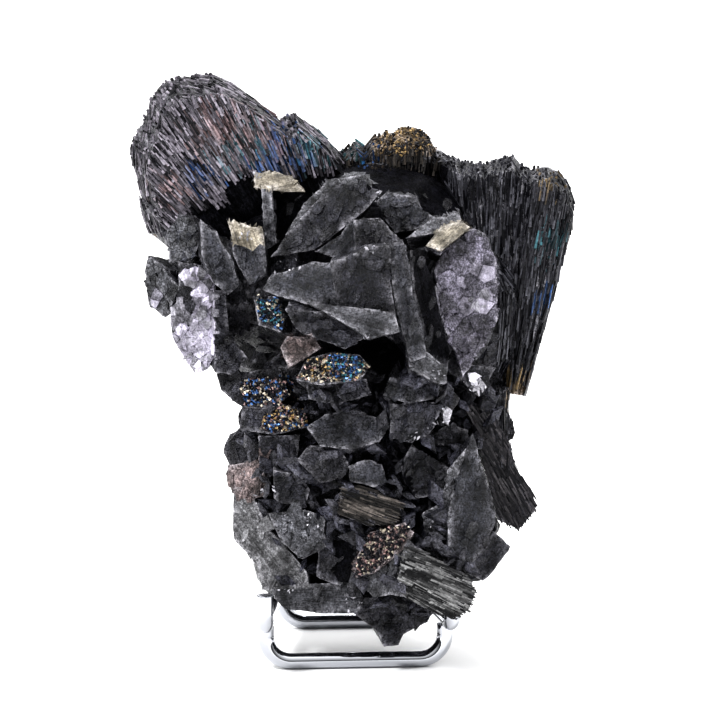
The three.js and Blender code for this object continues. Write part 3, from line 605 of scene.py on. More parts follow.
def paintBody(mesh, layer, frames, rimHighlightLevels):
    tintLayer = mesh.loops.layers.float_color.new("tint")
    finishAndRimLightLayer = mesh.loops.layers.float_vector.new("finishAndRimLight")
    grainLayer = mesh.loops.layers.float_vector.new("grain")
    shades = [chance.uniform(*bodyShape["shades"]) for facet in frames]
    for face in mesh.faces:
        face.smooth = True
        facet = face[layer]
        middle, along, across = frames[facet]
        zone = zoneAt(face.calc_center_median(), face.normal) or plain
        shade = shades[facet] if zone is plain else 1.0
        # a painted-shade zone cuts the shine and the rim highlight
        glossAndShade = zone.get("glossAndShade", 1.0)
        tint = [channel * shade for channel in tints[zone["tint"]]]
        for loop in face.loops:
            away = (loop.vert.co - middle) / mm
            loop[tintLayer] = (*tint, glossAndShade)
            # the third value is the painted rim highlight, cut with the shine
            loop[finishAndRimLightLayer] = (*zone["finishAndRimLight"], rimHighlightLevels[loop.vert.index] * glossAndShade)
            loop[grainLayer] = (away.dot(along), away.dot(across), facet * facetStep)


def clusterBody():
    mesh = solidMesh.copy()
    layer = mesh.faces.layers.int.new("facet")
    frames = facetFrames(mesh, layer)
    cutFiner(mesh)
    markSharp(mesh, layer)
    rimHighlightLevels = rimHighlightLevelsOf(mesh)
    wearDown(mesh, layer, frames)
    paintBody(mesh, layer, frames, rimHighlightLevels)
    return newPiece("cluster_body", meshFrom("clusterBody", mesh), calcite, "crystal_cluster")


body = clusterBody()
print("cluster body", len(body.data.polygons), "faces")


# many copies of one small shape, joined into one mesh
def template(make):
    mesh = bmesh.new()
    make(mesh)
    mesh.verts.ensure_lookup_table()
    points = np.array([vertex.co for vertex in mesh.verts])
    faces = [[vertex.index for vertex in face.verts] for face in mesh.faces]
    mesh.free()
    return points, faces


def setVectors(data, name, rows):
    attribute = data.attributes.new(name, "FLOAT_VECTOR", "POINT")
    attribute.data.foreach_set("vector", rows.astype(np.float32).ravel())


def joinedCopies(name, shape, places, colours, material, finishAndRimLight=(0.3, 0.3, 0.25)):
    points, faces = shape
    spots = []
    grains = []
    allFaces = []
    for index, place in enumerate(places):
        matrix = np.array(place)
        spots.append(points @ matrix[:3, :3].T + matrix[:3, 3])
        sizes = np.linalg.norm(matrix[:3, :3], axis=0) / mm
        step = np.full(len(points), index * facetStep)
        grains.append(np.column_stack((points[:, 1] * sizes[1], points[:, 0] * sizes[0], step)))
        start = index * len(points)
        allFaces.extend([[start + corner for corner in face] for face in faces])
    data = bpy.data.meshes.new(name)
    data.from_pydata(np.concatenate(spots).tolist(), [], allFaces)
    tint = data.color_attributes.new("tint", "FLOAT_COLOR", "POINT")
    rows = np.repeat(np.array([(*colour, 1.0) for colour in colours]), len(points), axis=0)
    tint.data.foreach_set("color", rows.astype(np.float32).ravel())
    setVectors(data, "finishAndRimLight", np.tile(np.array(finishAndRimLight), (len(rows), 1)))
    setVectors(data, "grain", np.concatenate(grains))
    return newPiece(name, data, material, "crystal_cluster")


def scattered(direction, spread):
    return direction + Vector([chance.gauss(0, spread) for axis in range(3)])


# a direction across outward, turned at random around it
def anyWayAcross(outward):
    along = outward.orthogonal()
    along.rotate(Matrix.Rotation(chance.uniform(0, 6.28), 3, outward))
    return along


def placeAlong(spot, along, outward, size):
    along = along.normalized()
    side = along.cross(outward).normalized()
    up = side.cross(along)
    turned = Matrix((side, along, up)).transposed().to_4x4()
    return Matrix.Translation(spot) @ turned @ Matrix.Diagonal((*size, 1))


def mixed(first, second, share):
    return tuple(a + (b - a) * share for a, b in zip(first, second))


# a fibre: a four-sided needle along Y that narrows to its tip
def needle(mesh):
    bmesh.ops.create_cone(mesh, cap_ends=True, segments=4, radius1=0.5, radius2=0.26, depth=1)
    bmesh.ops.rotate(mesh, verts=mesh.verts, matrix=Matrix.Rotation(math.radians(45), 3, "Z"))
    bmesh.ops.rotate(mesh, verts=mesh.verts, matrix=Matrix.Rotation(math.radians(-90), 3, "X"))


needleShape = template(needle)

# fibrous masses: outline, point the fibres spread from, spacing, width and length ranges in mm, tints
# of groove and crest (the fibres' darkest and palest tones, stretched into painted groove shade and
# painted crest highlight), spots of sheen (middle, reach, film), and whether the back carries them too
sheaves = [
    {
        "name": "left_fan_fibres",
        "outline": [(-40.6, 86), (-42.5, 93), (-43.8, 101.5), (-42.6, 107), (-39.6, 112.4), (-36.5, 116),
                    (-28.5, 117.2), (-24, 115.6),
                    (-16, 109.8), (-11.3, 109.2), (-4.3, 104.4), (-1.6, 101), (-4, 98.5), (-8, 97.5),
                    (-14, 98), (-19, 97.5), (-24, 97), (-26, 95.5), (-25, 93), (-27, 91.5), (-30, 91.6),
                    (-33.5, 89.4), (-36, 87)],
        "focus": (10, 45), "spacing": 0.56, "width": (0.35, 0.8), "length": (1.8, 4.8),
        "low": (0.005, 0.005, 0.007), "high": (0.3, 0.278, 0.318),
        "sheen": [(-14, 101, 9, "blue"), (-8, 102, 6, "teal"), (-22, 103, 7, "teal"), (-27, 107, 8, "rose"),
                  (-20, 106, 8, "rose"), (-30, 97, 5, "blue"), (-36, 94, 6, "rose")],
        "back": True,
    },
    {
        "name": "right_fan_fibres",
        "outline": [(18.8, 101.2), (27, 99.2), (32.5, 100.9), (38.4, 98.2), (42.6, 96.9), (44.7, 93.2),
                    (44.6, 88), (41.6, 76.5), (38, 62),
                    (35.6, 55.5), (31, 53.6), (29.6, 62), (30, 80), (26, 87), (20, 93)],
        "focus": (29, 30), "spacing": 0.58, "width": (0.32, 0.75), "length": (1.8, 5),
        "low": (0.003, 0.003, 0.005), "high": (0.1, 0.1, 0.115),
        "sheen": [(41, 84, 5, "teal"), (39, 72, 4, "blue"), (33, 56, 4, "tan"), (40, 96, 4, "tan")],
        "back": True,
    },
    {
        "name": "ridge_fibres",
        "outline": [(-2, 101.4), (0.6, 104.4), (2.6, 103), (5.8, 105.4), (11, 106.7), (15, 105.9),
                    (17, 102.6), (19, 100.8), (17, 97.6), (8, 97.8), (-2, 98.6)],
        "focus": (8, 30), "spacing": 0.62, "width": (0.35, 0.8), "length": (1.6, 4),
        "low": (0.005, 0.005, 0.006), "high": (0.06, 0.05, 0.042),
        "sheen": [(1, 102, 4, "teal"), (3, 100, 4, "blue"), (8, 104, 4, "tan"), (12, 105, 4, "tan")],
        "back": True,
    },
    {
        "name": "column_fibres",
        "outline": [(26, 54.5), (31.6, 54.3), (33, 44), (32.7, 39), (28, 44), (25.6, 51)],
        "focus": (30, 10), "spacing": 0.55, "width": (0.3, 0.7), "length": (2.5, 6),
        "low": (0.003, 0.003, 0.005), "high": (0.06, 0.06, 0.07),
        "back": False,
    },
    {
        "name": "diagonal_fibres",
        "outline": [(22.6, 51), (28, 49.6), (31.4, 44), (33, 38.6), (36.6, 33.4), (37, 30), (33.6, 26.3),
                    (29.8, 28.2), (27.7, 36), (25.6, 45.6)],
        "focus": (5, 82), "spacing": 0.55, "width": (0.3, 0.7), "length": (2.5, 6),
        "low": (0.004, 0.004, 0.006), "high": (0.09, 0.084, 0.09),
        "back": False,
    },
    {
        "name": "striated_block_fibres",
        "outline": [(10, 21), (14, 22.2), (19, 18.8), (23.2, 17), (25, 13.6), (23.7, 10), (21, 8.6),
                    (17, 9.4), (11.4, 12.4), (9.6, 16)],
        "focus": (-40, 42), "spacing": 0.5, "width": (0.3, 0.7), "length": (3, 7),
        "low": (0.006, 0.006, 0.007), "high": (0.26, 0.26, 0.262),
        "back": False,
    },
    {
        "name": "upper_block_fibres",
        "outline": [(-1.4, 35), (4, 34.3), (10.3, 31), (9.2, 27.8), (3.4, 27), (-2.2, 29.4)],
        "focus": (-40, 46), "spacing": 0.52, "width": (0.3, 0.65), "length": (2.5, 6),
        "low": (0.006, 0.006, 0.006), "high": (0.14, 0.125, 0.115),
        "back": False,
    },
]

sheens = {"blue": (0.03, 0.11, 0.3), "teal": (0.05, 0.17, 0.2), "rose": (0.26, 0.18, 0.18),
          "tan": (0.34, 0.25, 0.13)}
# how the fibres lie: "reach" in mm from the solid, the rest as shares of a fibre's own size
fibreLay = {
    "reach": 0.32, "backSpacing": 1.25, "lean": 0.035, "sink": (-0.1, 0.32), "tries": 3, "shorter": 0.55,
    "rimSlope": 0.62, "stubWidth": 1.5, "stubLength": 2.4, "stubSink": 0.7, "stubLean": 0.12,
}


def fibreTint(sheaf, x, z):
    away = (x - sheaf["focus"][0], z - sheaf["focus"][1])
    turn = math.atan2(away[1], away[0]) * math.hypot(*away)
    band = noise.noise(Vector((turn * 0.75, math.hypot(*away) * 0.14, 2.0)))
    # a fibre's tone, in bands across the fan, runs from painted groove shade to painted crest highlight
    share = min(1, max(0, 0.42 + 1.1 * band + chance.gauss(0, 0.22)))
    tint = mixed(sheaf["low"], sheaf["high"], share ** 1.5)
    for middleX, middleZ, reach, film in sheaf.get("sheen", []):
        closeness = 1 - math.dist((x, z), (middleX, middleZ)) / reach
        if closeness > 0 and chance.random() < closeness * 0.75:
            lit = tuple(channel * (0.3 + share) for channel in sheens[film])
            tint = mixed(tint, lit, chance.uniform(0.2, 0.75))
    return tint


def near(point):
    return solidTree.find_nearest(point)[3] < fibreLay["reach"] * mm


# at a rim, where the fibres end, a short stub stands on the solid
def rimStub(sheaf, spot, away):
    width = chance.uniform(*sheaf["width"]) * fibreLay["stubWidth"] * mm
    leaning = scattered(away, fibreLay["stubLean"]).normalized()
    size = (width, fibreLay["stubLength"] * width, width)
    return placeAlong(spot - leaning * width * fibreLay["stubSink"], leaning, leaning.orthogonal(), size)


# elsewhere a fibre lies along the face, shortened until both of its ends are on the solid
def laidFibre(sheaf, spot, normal, along):
    along = scattered(along.normalized(), fibreLay["lean"])
    width = chance.uniform(*sheaf["width"]) * mm
    length = chance.uniform(*sheaf["length"]) * mm
    middle = spot - normal * width * chance.uniform(*fibreLay["sink"])
    for trial in range(fibreLay["tries"]):
        if all(near(middle + along * length * end) for end in (-0.5, 0.42)):
            return placeAlong(middle, along, normal, (width, length, width))
        length *= fibreLay["shorter"]
    return None


def sheafFibres(sheaf):
    places = []
    colours = []
    sides = [(onFront, 1)]
    if sheaf["back"]:
        sides.append((onBack, fibreLay["backSpacing"]))
    for onSide, wider in sides:
        for x, z in spotsIn(sheaf["outline"], sheaf["spacing"] * wider):
            hit = onSide(x, z)
            if not hit:
                continue
            spot, normal = hit
            away = Vector((x - sheaf["focus"][0], 0, z - sheaf["focus"][1])).normalized()
            along = away - normal * away.dot(normal)
            atRim = along.length < fibreLay["rimSlope"]
            place = rimStub(sheaf, spot, away) if atRim else laidFibre(sheaf, spot, normal, along)
            if place:
                places.append(place)
                colours.append(fibreTint(sheaf, x, z))
    joinedCopies(sheaf["name"], needleShape, places, colours, fibre)
    print(sheaf["name"], len(places))


for sheaf in sheaves:
    sheafFibres(sheaf)

# cracked scales on the silvery faces: cells of a face, each tilted its own way; within a field's
# lights (x, z, reach) the scales are mixed toward silver as a painted highlight
scaleFields = [
    {"name": "left_scales",
     "outline": [(-34, 77.5), (-30, 79), (-27.4, 76.4), (-27, 70), (-27.1, 62), (-28.6, 58.2), (-31, 57.2),
                 (-33.8, 61), (-35.8, 65), (-33.4, 66), (-31, 68.2)],
     "spacing": 1.9, "tint": "pale", "lights": [(-31, 72, 3), (-29.5, 64, 3.5), (-33.5, 67, 3)]},
    {"name": "upper_left_scales",
     "outline": [(-36.6, 85.4), (-34.4, 88.8), (-32.2, 88.6), (-30.6, 86), (-30.8, 82.4), (-32.2, 80),
                 (-36.2, 80)],
     "spacing": 1.9, "tint": "grey", "lights": []},
    {"name": "far_left_scales",
     "outline": [(-40.2, 80.4), (-41.2, 75.4), (-39.8, 70.9), (-37.2, 69), (-36, 70.8), (-38.8, 75.2),
                 (-37.4, 78.4)],
     "spacing": 1.8, "tint": "grey", "lights": [(-39, 72, 2)]},
    {"name": "right_scales",
     "outline": [(17.4, 78), (18.6, 81.6), (22.2, 84.9), (24.8, 86.1), (27.6, 84.4), (29.1, 80), (29.1, 73),
                 (29.5, 69), (27.2, 62.8), (22.8, 57.4), (21.9, 60.7), (19.4, 66.2), (18.2, 71)],
     "spacing": 2.5, "tint": "lilac", "lights": [(26.3, 71, 3), (24, 77, 3), (28, 78, 2), (25, 63, 2.5)]},
]
# a scale's sizes in mm: how far its cell reaches (in spacings), lift over the face, thickness
scaleShape = {"reach": 1.1, "share": 0.95, "tilt": 0.09, "lift": (0.1, 0.4), "thick": 0.9,
              "finishAndRimLight": (0.5, 0.15, 0.4), "silver": (0.3, 0.8), "shades": (0.5, 1.5)}


# the part of a cell that is nearer to its own spot than to another one
def clipped(polygon, spot, other):
    middle = ((spot[0] + other[0]) / 2, (spot[1] + other[1]) / 2)
    away = (other[0] - spot[0], other[1] - spot[1])
    kept = []
    for index, corner in enumerate(polygon):
        previous = polygon[index - 1]
        now = (corner[0] - middle[0]) * away[0] + (corner[1] - middle[1]) * away[1]
        before = (previous[0] - middle[0]) * away[0] + (previous[1] - middle[1]) * away[1]
        if (now < 0) != (before < 0):
            kept.append(reached(previous, corner, before / (before - now)))
        if now < 0:
            kept.append(corner)
    return kept


def reached(spot, corner, share):
    return (spot[0] + (corner[0] - spot[0]) * share, spot[1] + (corner[1] - spot[1]) * share)


def cellAround(spot, spots, spacing):
    reach = spacing * scaleShape["reach"]
    square = ((-1, -1), (1, -1), (1, 1), (-1, 1))
    cell = [(spot[0] + reach * right, spot[1] + reach * up) for right, up in square]
    for other in spots:
        if other is not spot and cell and math.dist(other, spot) < 3 * spacing:
            cell = clipped(cell, spot, other)
    return cell


# the cell's corners on the tilted plane, pulled back inside the field's outline
def scaleRing(field, spot, cell, centre, tilted):
    ring = []
    for corner in cell:
        share = scaleShape["share"]
        while share > 0.1 and not inside(field["outline"], *reached(spot, corner, share)):
            share -= 0.05
        ray = sightRay(*reached(spot, corner, share))
        ring.append(eye + ray * ((centre - eye).dot(tilted) / ray.dot(tilted)))
    return ring


def scaleField(field):
    mesh = bmesh.new()
    tintLayer = mesh.verts.layers.float_color.new("tint")
    finishAndRimLightLayer = mesh.verts.layers.float_vector.new("finishAndRimLight")
    spots = spotsIn(field["outline"], field["spacing"])
    for spot in spots:
        cell = cellAround(spot, spots, field["spacing"])
        hit = onFront(*spot)
        if not hit or len(cell) < 3:
            continue
        centre, normal = hit
        tilted = scattered(normal, scaleShape["tilt"]).normalized()
        centre = centre + normal * chance.uniform(*scaleShape["lift"]) * mm
        ring = [mesh.verts.new(point) for point in scaleRing(field, spot, cell, centre, tilted)]
        grown = bmesh.ops.extrude_face_region(mesh, geom=[mesh.faces.new(ring)])
        deeper = [item for item in grown["geom"] if isinstance(item, bmesh.types.BMVert)]
        bmesh.ops.translate(mesh, verts=deeper, vec=-normal * scaleShape["thick"] * mm)
        # painted highlight: a scale in one of the field's lights is mixed toward silver
        highlit = any(math.dist(spot, light[:2]) < light[2] for light in field["lights"])
        share = chance.uniform(*scaleShape["silver"]) if highlit else 0.0
        tint = mixed(tints[field["tint"]], tints["silver"], share)
        shade = chance.uniform(*scaleShape["shades"])
        for vertex in ring + deeper:
            vertex[tintLayer] = (*(channel * shade for channel in tint), 1)
            vertex[finishAndRimLightLayer] = scaleShape["finishAndRimLight"]
    bmesh.ops.recalc_face_normals(mesh, faces=mesh.faces)
    return newPiece(field["name"], meshFrom(field["name"], mesh), calcite, "crystal_cluster")


for field in scaleFields:
    scaleField(field)
print("scales laid")


# tarnished druse: tiny pointed crystals with blue, gold and cream films
def crumb(mesh):
    bmesh.ops.create_cone(mesh, cap_ends=True, segments=5, radius1=0.55, radius2=0.1, depth=0.9)


crumbShape = template(crumb)
films = {"gold": (0.5, 0.36, 0.18), "cream": (0.66, 0.6, 0.5), "blue": (0.10, 0.2, 0.42),
         "teal": (0.1, 0.28, 0.34), "rose": (0.36, 0.25, 0.24), "umber": (0.2, 0.145, 0.085),
         "dark": (0.025, 0.025, 0.03)}
crumbs = {"spacing": 0.32, "size": (0.32, 0.75), "lean": 0.5, "lift": 0.2, "heartShare": 0.65}
druses = [
    {"name": "middle_druse", "outline": [(-10.5, 56.5), (-8.5, 60), (-3, 61.5), (2, 60.5), (4, 58.5),
                                         (1, 56), (-6, 55.5)],
     "films": ("cream", "cream", "rose", "gold", "dark", "dark"), "heart": (-1, 59.4, 3.6)},
    {"name": "upper_druse", "outline": [(-19, 73), (-14.5, 72.5), (-13, 69), (-14, 66), (-18, 68)],
     "films": ("blue", "teal", "cream", "dark", "dark", "dark")},
    {"name": "left_druse", "outline": [(-18, 46), (-17, 49), (-13, 51), (-9, 50), (-8.5, 47), (-15, 45.5)],
     "films": ("gold", "cream", "rose", "blue", "dark", "dark")},
    {"name": "lower_druse", "outline": [(1.5, 16.5), (1, 19), (4, 25.2), (8, 26.8), (12, 27), (11, 24),
                                        (8, 20.5), (5, 18)],
     "films": ("rose", "cream", "dark", "dark", "dark")},
    {"name": "ridge_druse", "outline": [(5, 104), (7, 105.6), (11, 106.6), (15, 105.8), (16.5, 102.4),
                                        (12, 101), (6, 101)],
     "films": ("umber", "umber", "dark", "dark", "gold")},
    {"name": "waist_crumbs", "outline": [(-22, 56), (-12, 57), (-10, 52), (-14, 51), (-21, 51)],
     "films": ("dark", "dark", "rose", "blue", "cream")},
]


def druseField(field):
    places = []
    colours = []
    for x, z in spotsIn(field["outline"], crumbs["spacing"]):
        hit = onFront(x, z)
        if not hit:
            continue
        spot, normal = hit
        size = chance.uniform(*crumbs["size"]) * mm
        outward = scattered(normal, crumbs["lean"]).normalized()
        middle = spot + normal * size * crumbs["lift"]
        places.append(placeAlong(middle, outward.orthogonal(), outward, (size, size, size)))
        film = films[chance.choice(field["films"])]
        if "heart" in field and math.dist((x, z), field["heart"][:2]) < field["heart"][2]:
            if chance.random() < crumbs["heartShare"]:
                film = films[chance.choice(("blue", "blue", "teal"))]
        colours.append(mixed(film, films["dark"], chance.random() ** 2))
    material = fibre if "umber" in field["films"] else druse  # earthy crumbs don't shine
    return joinedCopies(field["name"], crumbShape, places, colours, material)


for field in druses:
    druseField(field)
print("druse grown")


# small tabular crystals in the hollows of the body
def tablet(mesh):
    bmesh.ops.create_cone(mesh, cap_ends=True, segments=4, radius1=0.5, radius2=0.4, depth=0.14)
    bmesh.ops.scale(mesh, vec=(0.62, 1, 1), verts=mesh.verts)


tabletShape = template(tablet)
tabletFields = [
    {"name": "waist_tablets", "outline": [(-25, 57), (28, 57), (30, 44), (20, 42), (-22, 44)]},
    {"name": "lower_tablets",
     "outline": [(-23, 44), (26, 44), (28, 27), (20, 10), (4, 8), (-16, 14), (-22, 25)]},
]
tablets = {
    "spacing": 1.6, "size": (3, 7.5), "wide": (0.55, 0.9), "thick": (0.7, 1.5), "lift": (0.45, 0.95),
    "highest": 6, "facing": Vector((0.2, -0.8, 0.5)), "lean": 0.55, "shades": (0.7, 3.4),
    "finishAndRimLight": (0.4, 0.5, 0.6),
}
hollow = {"ways": 8, "turn": 0.785, "reach": 3, "rise": 1.0}


# how deep a spot lies below what is around it, or 0 where it isn't in a hollow
def hollowAt(x, z, spot):
    depth = (spot - eye).length
    rises = []
    for step in range(hollow["ways"]):
        turn = step * hollow["turn"]
        around = onFront(x + hollow["reach"] * math.cos(turn), z + hollow["reach"] * math.sin(turn))
        if around and depth - (around[0] - eye).length > hollow["rise"] * mm:
            rises.append(depth - (around[0] - eye).length)
    return sum(rises) / len(rises) if len(rises) > 2 else 0


def tabletField(field):
    places = []
    colours = []
    for x, z in spotsIn(field["outline"], tablets["spacing"]):
        hit = onFront(x, z)
        depth = hollowAt(x, z, hit[0]) if hit else 0
        if not depth or any(inside(patch["outline"], x, z) for patch in druses):
            continue
        size = chance.uniform(*tablets["size"]) * mm
        lift = min(depth * chance.uniform(*tablets["lift"]), tablets["highest"] * mm)
        outward = scattered(tablets["facing"], tablets["lean"]).normalized()
        along = anyWayAcross(outward)
        sizes = (size * chance.uniform(*tablets["wide"]), size, size * chance.uniform(*tablets["thick"]))
        places.append(placeAlong(hit[0] - sightRay(x, z) * lift, along, outward, sizes))
        shade = chance.uniform(*tablets["shades"])
        colours.append(tuple(channel * shade for channel in tints["charcoal"]))
    print(field["name"], len(places))
    return joinedCopies(field["name"], tabletShape, places, colours, calcite, tablets["finishAndRimLight"])


for field in tabletFields:
    tabletField(field)
print("tablets grown")


# flakes: thin broken sheets that lie on the faces, front and back
def flakeOf(seed):
    sides = 7

    def make(mesh):
        shape = random.Random(seed)
        bmesh.ops.create_cone(mesh, cap_ends=True, segments=sides, radius1=0.5, radius2=0.45, depth=1)
        reaches = [shape.uniform(0.6, 1.15) for corner in range(sides)]
        for vertex in mesh.verts:
            reach = reaches[round(math.atan2(vertex.co.y, vertex.co.x) / 0.8976) % sides]
            vertex.co.x *= reach
            vertex.co.y *= reach
    return template(make)


flakeShapes = [flakeOf(seed) for seed in (3, 8, 21, 34)]
flakes = {
    "outline": [(-40, 72), (-36, 88), (-20, 97), (4, 97), (20, 93), (29, 86), (29, 60), (27, 46), (29, 28),
                (23, 10), (8, 3), (-2, 9), (-17, 14), (-24, 25), (-24, 45), (-29, 57)],
    "spacing": 1.5, "size": (1.6, 5.2), "wide": (0.45, 0.8), "thick": (0.25, 0.6), "lean": 0.07, "turn": 0.5,
    "grain": Vector((0.5, 0.2, 1)), "reach": 0.35, "streaky": 0.35, "leftOff": 0.75, "shades": (0.6, 1.8),
    "finishAndRimLight": (0.35, 0.6, 0.5),
}


def flakePlace(spot, normal):
    size = chance.uniform(*flakes["size"]) * mm
    outward = scattered(normal, flakes["lean"]).normalized()
    along = flakes["grain"] - outward * outward.dot(flakes["grain"])
    along.rotate(Matrix.Rotation(chance.gauss(0, flakes["turn"]), 3, outward))
    sizes = (size * chance.uniform(*flakes["wide"]), size, chance.uniform(*flakes["thick"]) * mm)
    return placeAlong(spot, along, outward, sizes)


# a flake is kept where all its corners lie on the solid
def liesFlat(place):
    for turn in (0, 1.05, 2.1, 3.14, 4.2, 5.24):
        corner = place @ Vector((0.45 * math.cos(turn), 0.45 * math.sin(turn), 0))
        if solidTree.find_nearest(corner)[3] > flakes["reach"] * mm:
            return False
    return True


def flakeSheets():
    places = [[] for shape in flakeShapes]
    colours = [[] for shape in flakeShapes]
    for x, z in spotsIn(flakes["outline"], flakes["spacing"]):
        for hit in (onFront(x, z), onBack(x, z)):
            if not hit:
                continue
            place = flakePlace(*hit)
            if not liesFlat(place) or any(inside(patch["outline"], x, z) for patch in sheaves + druses):
                continue
            zone = zoneAt(*hit)
            if zone and zone["finishAndRimLight"][1] > flakes["streaky"] and chance.random() < flakes["leftOff"]:
                continue
            shade = chance.uniform(*flakes["shades"])
            kind = chance.randrange(len(flakeShapes))
            places[kind].append(place)
            colours[kind].append(tuple(channel * shade for channel in tints[(zone or plain)["tint"]]))
    for kind, shape in enumerate(flakeShapes):
        joinedCopies("flakes_" + str(kind + 1), shape, places[kind], colours[kind], calcite, flakes["finishAndRimLight"])
    print("flakes", sum(len(kept) for kept in places))


flakeSheets()

# rough lumps behind the plates low in the cluster, which close the gaps between them: x and z in the
# front elevation, depth and radius, in mm
backing = [(-6.5, 16.5, -2, 5), (-10.5, 19.5, 0, 6), (2.6, 14.2, -3, 5), (20.8, 18.6, -2, 4.4),
           (24.8, 18.4, -4, 2.8), (-2, 20, 0, 6), (14, 30, 1, 6), (27.8, 26.4, -3, 2.4)]


def backingLumps():
    mesh = bmesh.new()
    tintLayer = mesh.verts.layers.float_color.new("tint")
    for x, z, depth, size in backing:
        ray = sightRay(x, z)
        spot = eye + ray * (((depth * mm + shift.y) - eye.y) / ray.y)
        made = bmesh.ops.create_icosphere(mesh, subdivisions=3, radius=size * mm)
        for vertex in made["verts"]:
            lumpy = noise.noise(vertex.co * 260 + Vector((x, z, 0)))
            rough = noise.noise(vertex.co * 800)
            vertex.co = vertex.co * (1 + 0.35 * lumpy + 0.15 * rough) + spot
            vertex[tintLayer] = (*tints["charcoal"], 1)
    return newPiece("backing_lumps", meshFrom("backing", mesh), calcite, "crystal_cluster")


backingLumps()

# painted glints: small bright chips, a few around each spot
glintSpots = [
    (-17.5, 33.5), (-18.3, 31.2), (-15.4, 34.2), (-19, 38.5), (-21, 37.5), (13, 45), (17, 47), (-8.5, 28.5),
    (-9, 24), (-6.5, 26.5), (-13, 26.5), (-0.5, 12.8), (1, 11.6), (24.8, 54), (26.4, 55), (19.7, 48.6),
    (-34, 68), (-30, 62), (26, 71), (27.2, 73), (-14, 78.2), (-10.6, 79), (4, 82.6), (-20, 85), (-18.6, 96.6),
    (3.6, 64.4), (17.4, 57), (6, 92.8), (-16, 70), (16.6, 26), (15.6, 23), (-12, 14),
]
chipGlints = {"count": 8, "spread": 0.8, "lean": 0.45, "size": (0.4, 1.3)}


def paintedGlintChips():
    places = []
    colours = []
    for middleX, middleZ in glintSpots:
        for chip in range(chipGlints["count"]):
            x, z = middleX + chance.gauss(0, chipGlints["spread"]), middleZ + chance.gauss(0, chipGlints["spread"])
            hit = onFront(x, z)
            if not hit:
                continue
            outward = scattered(hit[1], chipGlints["lean"]).normalized()
            size = chance.uniform(*chipGlints["size"]) * mm
            along = anyWayAcross(outward)
            places.append(placeAlong(hit[0], along, outward, (size * 0.7, size, size * 2)))
            colours.append(mixed(tints["grey"], tints["highlit"], chance.random()))
    return joinedCopies("painted_glint_chips", tabletShape, places, colours, fibre)


paintedGlintChips()

# the stand: bent round rods, the arms welded on the front foot and the rear frame, in mm and degrees
stand = {
    "radius": 1.6, "yaw": 4.3, "middleX": 0.5, "bend": 5, "endRound": 0.3, "endGap": 0.1, "footHalf": 17.9,
    "footY": -8.3, "armHeight": 10.5, "hookHalf": 18.5, "hookY": -17.8, "hookTop": 17.3, "hookBend": 3.4,
    "rearHalf": 13, "rearY": 27, "rearHeight": 58,
}
quarterTurn = 0.552  # where a curve's handle lies on the way to a corner, for a round bend


def standPoint(x, y, z):
    spot = Vector((x, y, z))
    spot.rotate(Matrix.Rotation(math.radians(stand["yaw"]), 3, "Z"))
    return (spot + Vector((stand["middleX"], 0, 0))) * mm + shift


# left handle, point and right handle of each knot of a line bent round at its inner corners
def bentKnots(corners, bends):
    knots = [(corners[0], corners[0], corners[0])]
    for before, corner, after, bend in zip(corners, corners[1:], corners[2:], bends):
        start = corner + (before - corner).normalized() * (bend * mm)
        end = corner + (after - corner).normalized() * (bend * mm)
        knots.append((start, start, start.lerp(corner, quarterTurn)))
        knots.append((end.lerp(corner, quarterTurn), end, end))
    knots.append((corners[-1], corners[-1], corners[-1]))
    return knots


def sweptRod(name, knots):
    curve = bpy.data.curves.new(name, "CURVE")
    curve.dimensions = "3D"
    curve.bevel_depth = stand["radius"] * mm
    curve.bevel_resolution = 7
    curve.use_fill_caps = True
    curve.resolution_u = 14
    spline = curve.splines.new("BEZIER")
    spline.bezier_points.add(len(knots) - 1)
    for point, (left, middle, right) in zip(spline.bezier_points, knots):
        point.handle_left_type = "FREE"
        point.handle_right_type = "FREE"
        point.handle_left, point.co, point.handle_right = left, middle, right
    drawn = bpy.data.objects.new(name + "_line", curve)
    bpy.context.scene.collection.objects.link(drawn)
    data = bpy.data.meshes.new_from_object(drawn.evaluated_get(bpy.context.evaluated_depsgraph_get()))
    bpy.data.objects.remove(drawn)
    return data


def rod(name, corners, bends):
    data = sweptRod(name, bentKnots(corners, bends))
    mesh = bmesh.new()
    mesh.from_mesh(data)
    bmesh.ops.remove_doubles(mesh, verts=mesh.verts, dist=1e-6)
    ends = [edge for edge in mesh.edges if edge.calc_face_angle(0) > math.radians(60)]
    bmesh.ops.bevel(mesh, geom=ends, offset=stand["endRound"] * mm, offset_type="OFFSET", segments=3,
                    profile=0.5, affect="EDGES", material=-1)
    for face in mesh.faces:
        face.smooth = True
    mesh.to_mesh(data)
    mesh.free()
    data.materials.clear()
    return newPiece(name + "_rod", data, chrome, name)


# a rod bent to a U, from its left end down to the table and up again
def standingU(name, half, y, top):
    path = [(-half, top), (-half, stand["radius"]), (half, stand["radius"]), (half, top)]
    rod(name, [standPoint(x, y, z) for x, z in path], [stand["bend"]] * 2)


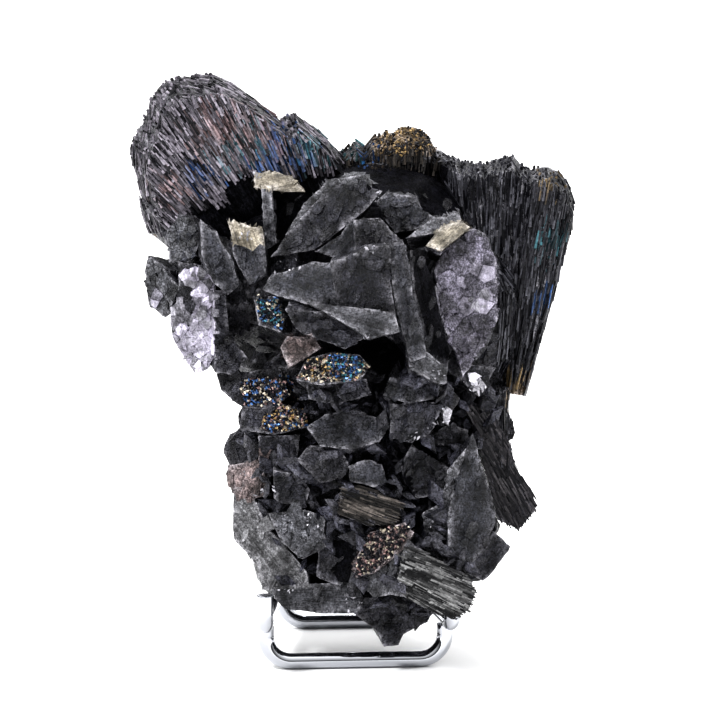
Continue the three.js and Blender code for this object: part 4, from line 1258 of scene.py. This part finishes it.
def buildStand():
    height = stand["armHeight"]
    standingU("front_foot", stand["footHalf"], stand["footY"], height - stand["radius"] - stand["endGap"])
    standingU("rear_frame", stand["rearHalf"], stand["rearY"], stand["rearHeight"])
    for side, name in ((-1, "left_arm"), (1, "right_arm")):
        path = [
            (side * stand["hookHalf"], stand["hookY"], stand["hookTop"]),
            (side * stand["hookHalf"], stand["hookY"], height),
            (side * stand["footHalf"], stand["footY"], height),
            (side * stand["rearHalf"], stand["rearY"] - 2 * stand["radius"], height),
        ]
        rod(name, [standPoint(*corner) for corner in path], [stand["hookBend"], stand["bend"]])


buildStand()
print("stand bent")

# floor, light and camera
floorMesh = bmesh.new()
bmesh.ops.create_grid(floorMesh, x_segments=2, y_segments=2, size=25)
floorData = meshFrom("floor", floorMesh)
floor = bpy.data.objects.new("floor", floorData)
bpy.context.scene.collection.objects.link(floor)
floorData.materials.append(floorMaterial())

scene = bpy.context.scene
scene.view_settings.view_transform = "Standard"
scene.view_settings.look = "High Contrast"
scene.view_settings.exposure = 0.2
world = bpy.data.worlds.new("studio")
world.use_nodes = True
studioNodes, studioLinks = world.node_tree.nodes, world.node_tree.links
studioNodes["Background"].inputs["Color"].default_value = (1, 1, 1, 1)
facing = studioNodes.new("ShaderNodeSeparateXYZ")
studioLinks.new(studioNodes.new("ShaderNodeTexCoord").outputs["Generated"], facing.inputs[0])
overhead = rangeOf(studioNodes, studioLinks, facing.outputs["Z"], 0.1, 0.9, 0.0, 1.1)
behind = rangeOf(studioNodes, studioLinks, facing.outputs["Y"], -0.7, 0.6, 0.08, 0.66)
glow = mathOf(studioNodes, studioLinks, "ADD", overhead, behind)
studioLinks.new(glow, studioNodes["Background"].inputs["Strength"])
scene.world = world


def softLight(name, place, size, power):
    lamp = bpy.data.lights.new(name, "AREA")
    lamp.shape = "DISK"
    lamp.size = size
    lamp.energy = power
    holder = bpy.data.objects.new(name, lamp)
    holder.location = place
    holder.rotation_euler = (Vector((0, 0, 0.06)) - Vector(place)).to_track_quat("-Z", "Y").to_euler()
    scene.collection.objects.link(holder)


softLight("keyLight", (-0.4, -0.5, 0.7), 0.16, 4.5)
softLight("topLight", (0.15, 0.1, 0.9), 0.2, 1.6)

lens = bpy.data.cameras.new("photoCamera")
lens.sensor_width = 36
lens.lens = 36 * view["distance"] / view["width"]
lens.clip_end = 100
camera = bpy.data.objects.new("photoCamera", lens)
camera.location = eye
camera.rotation_euler = (math.radians(90) - rise, 0, 0)
scene.collection.objects.link(camera)
scene.camera = camera
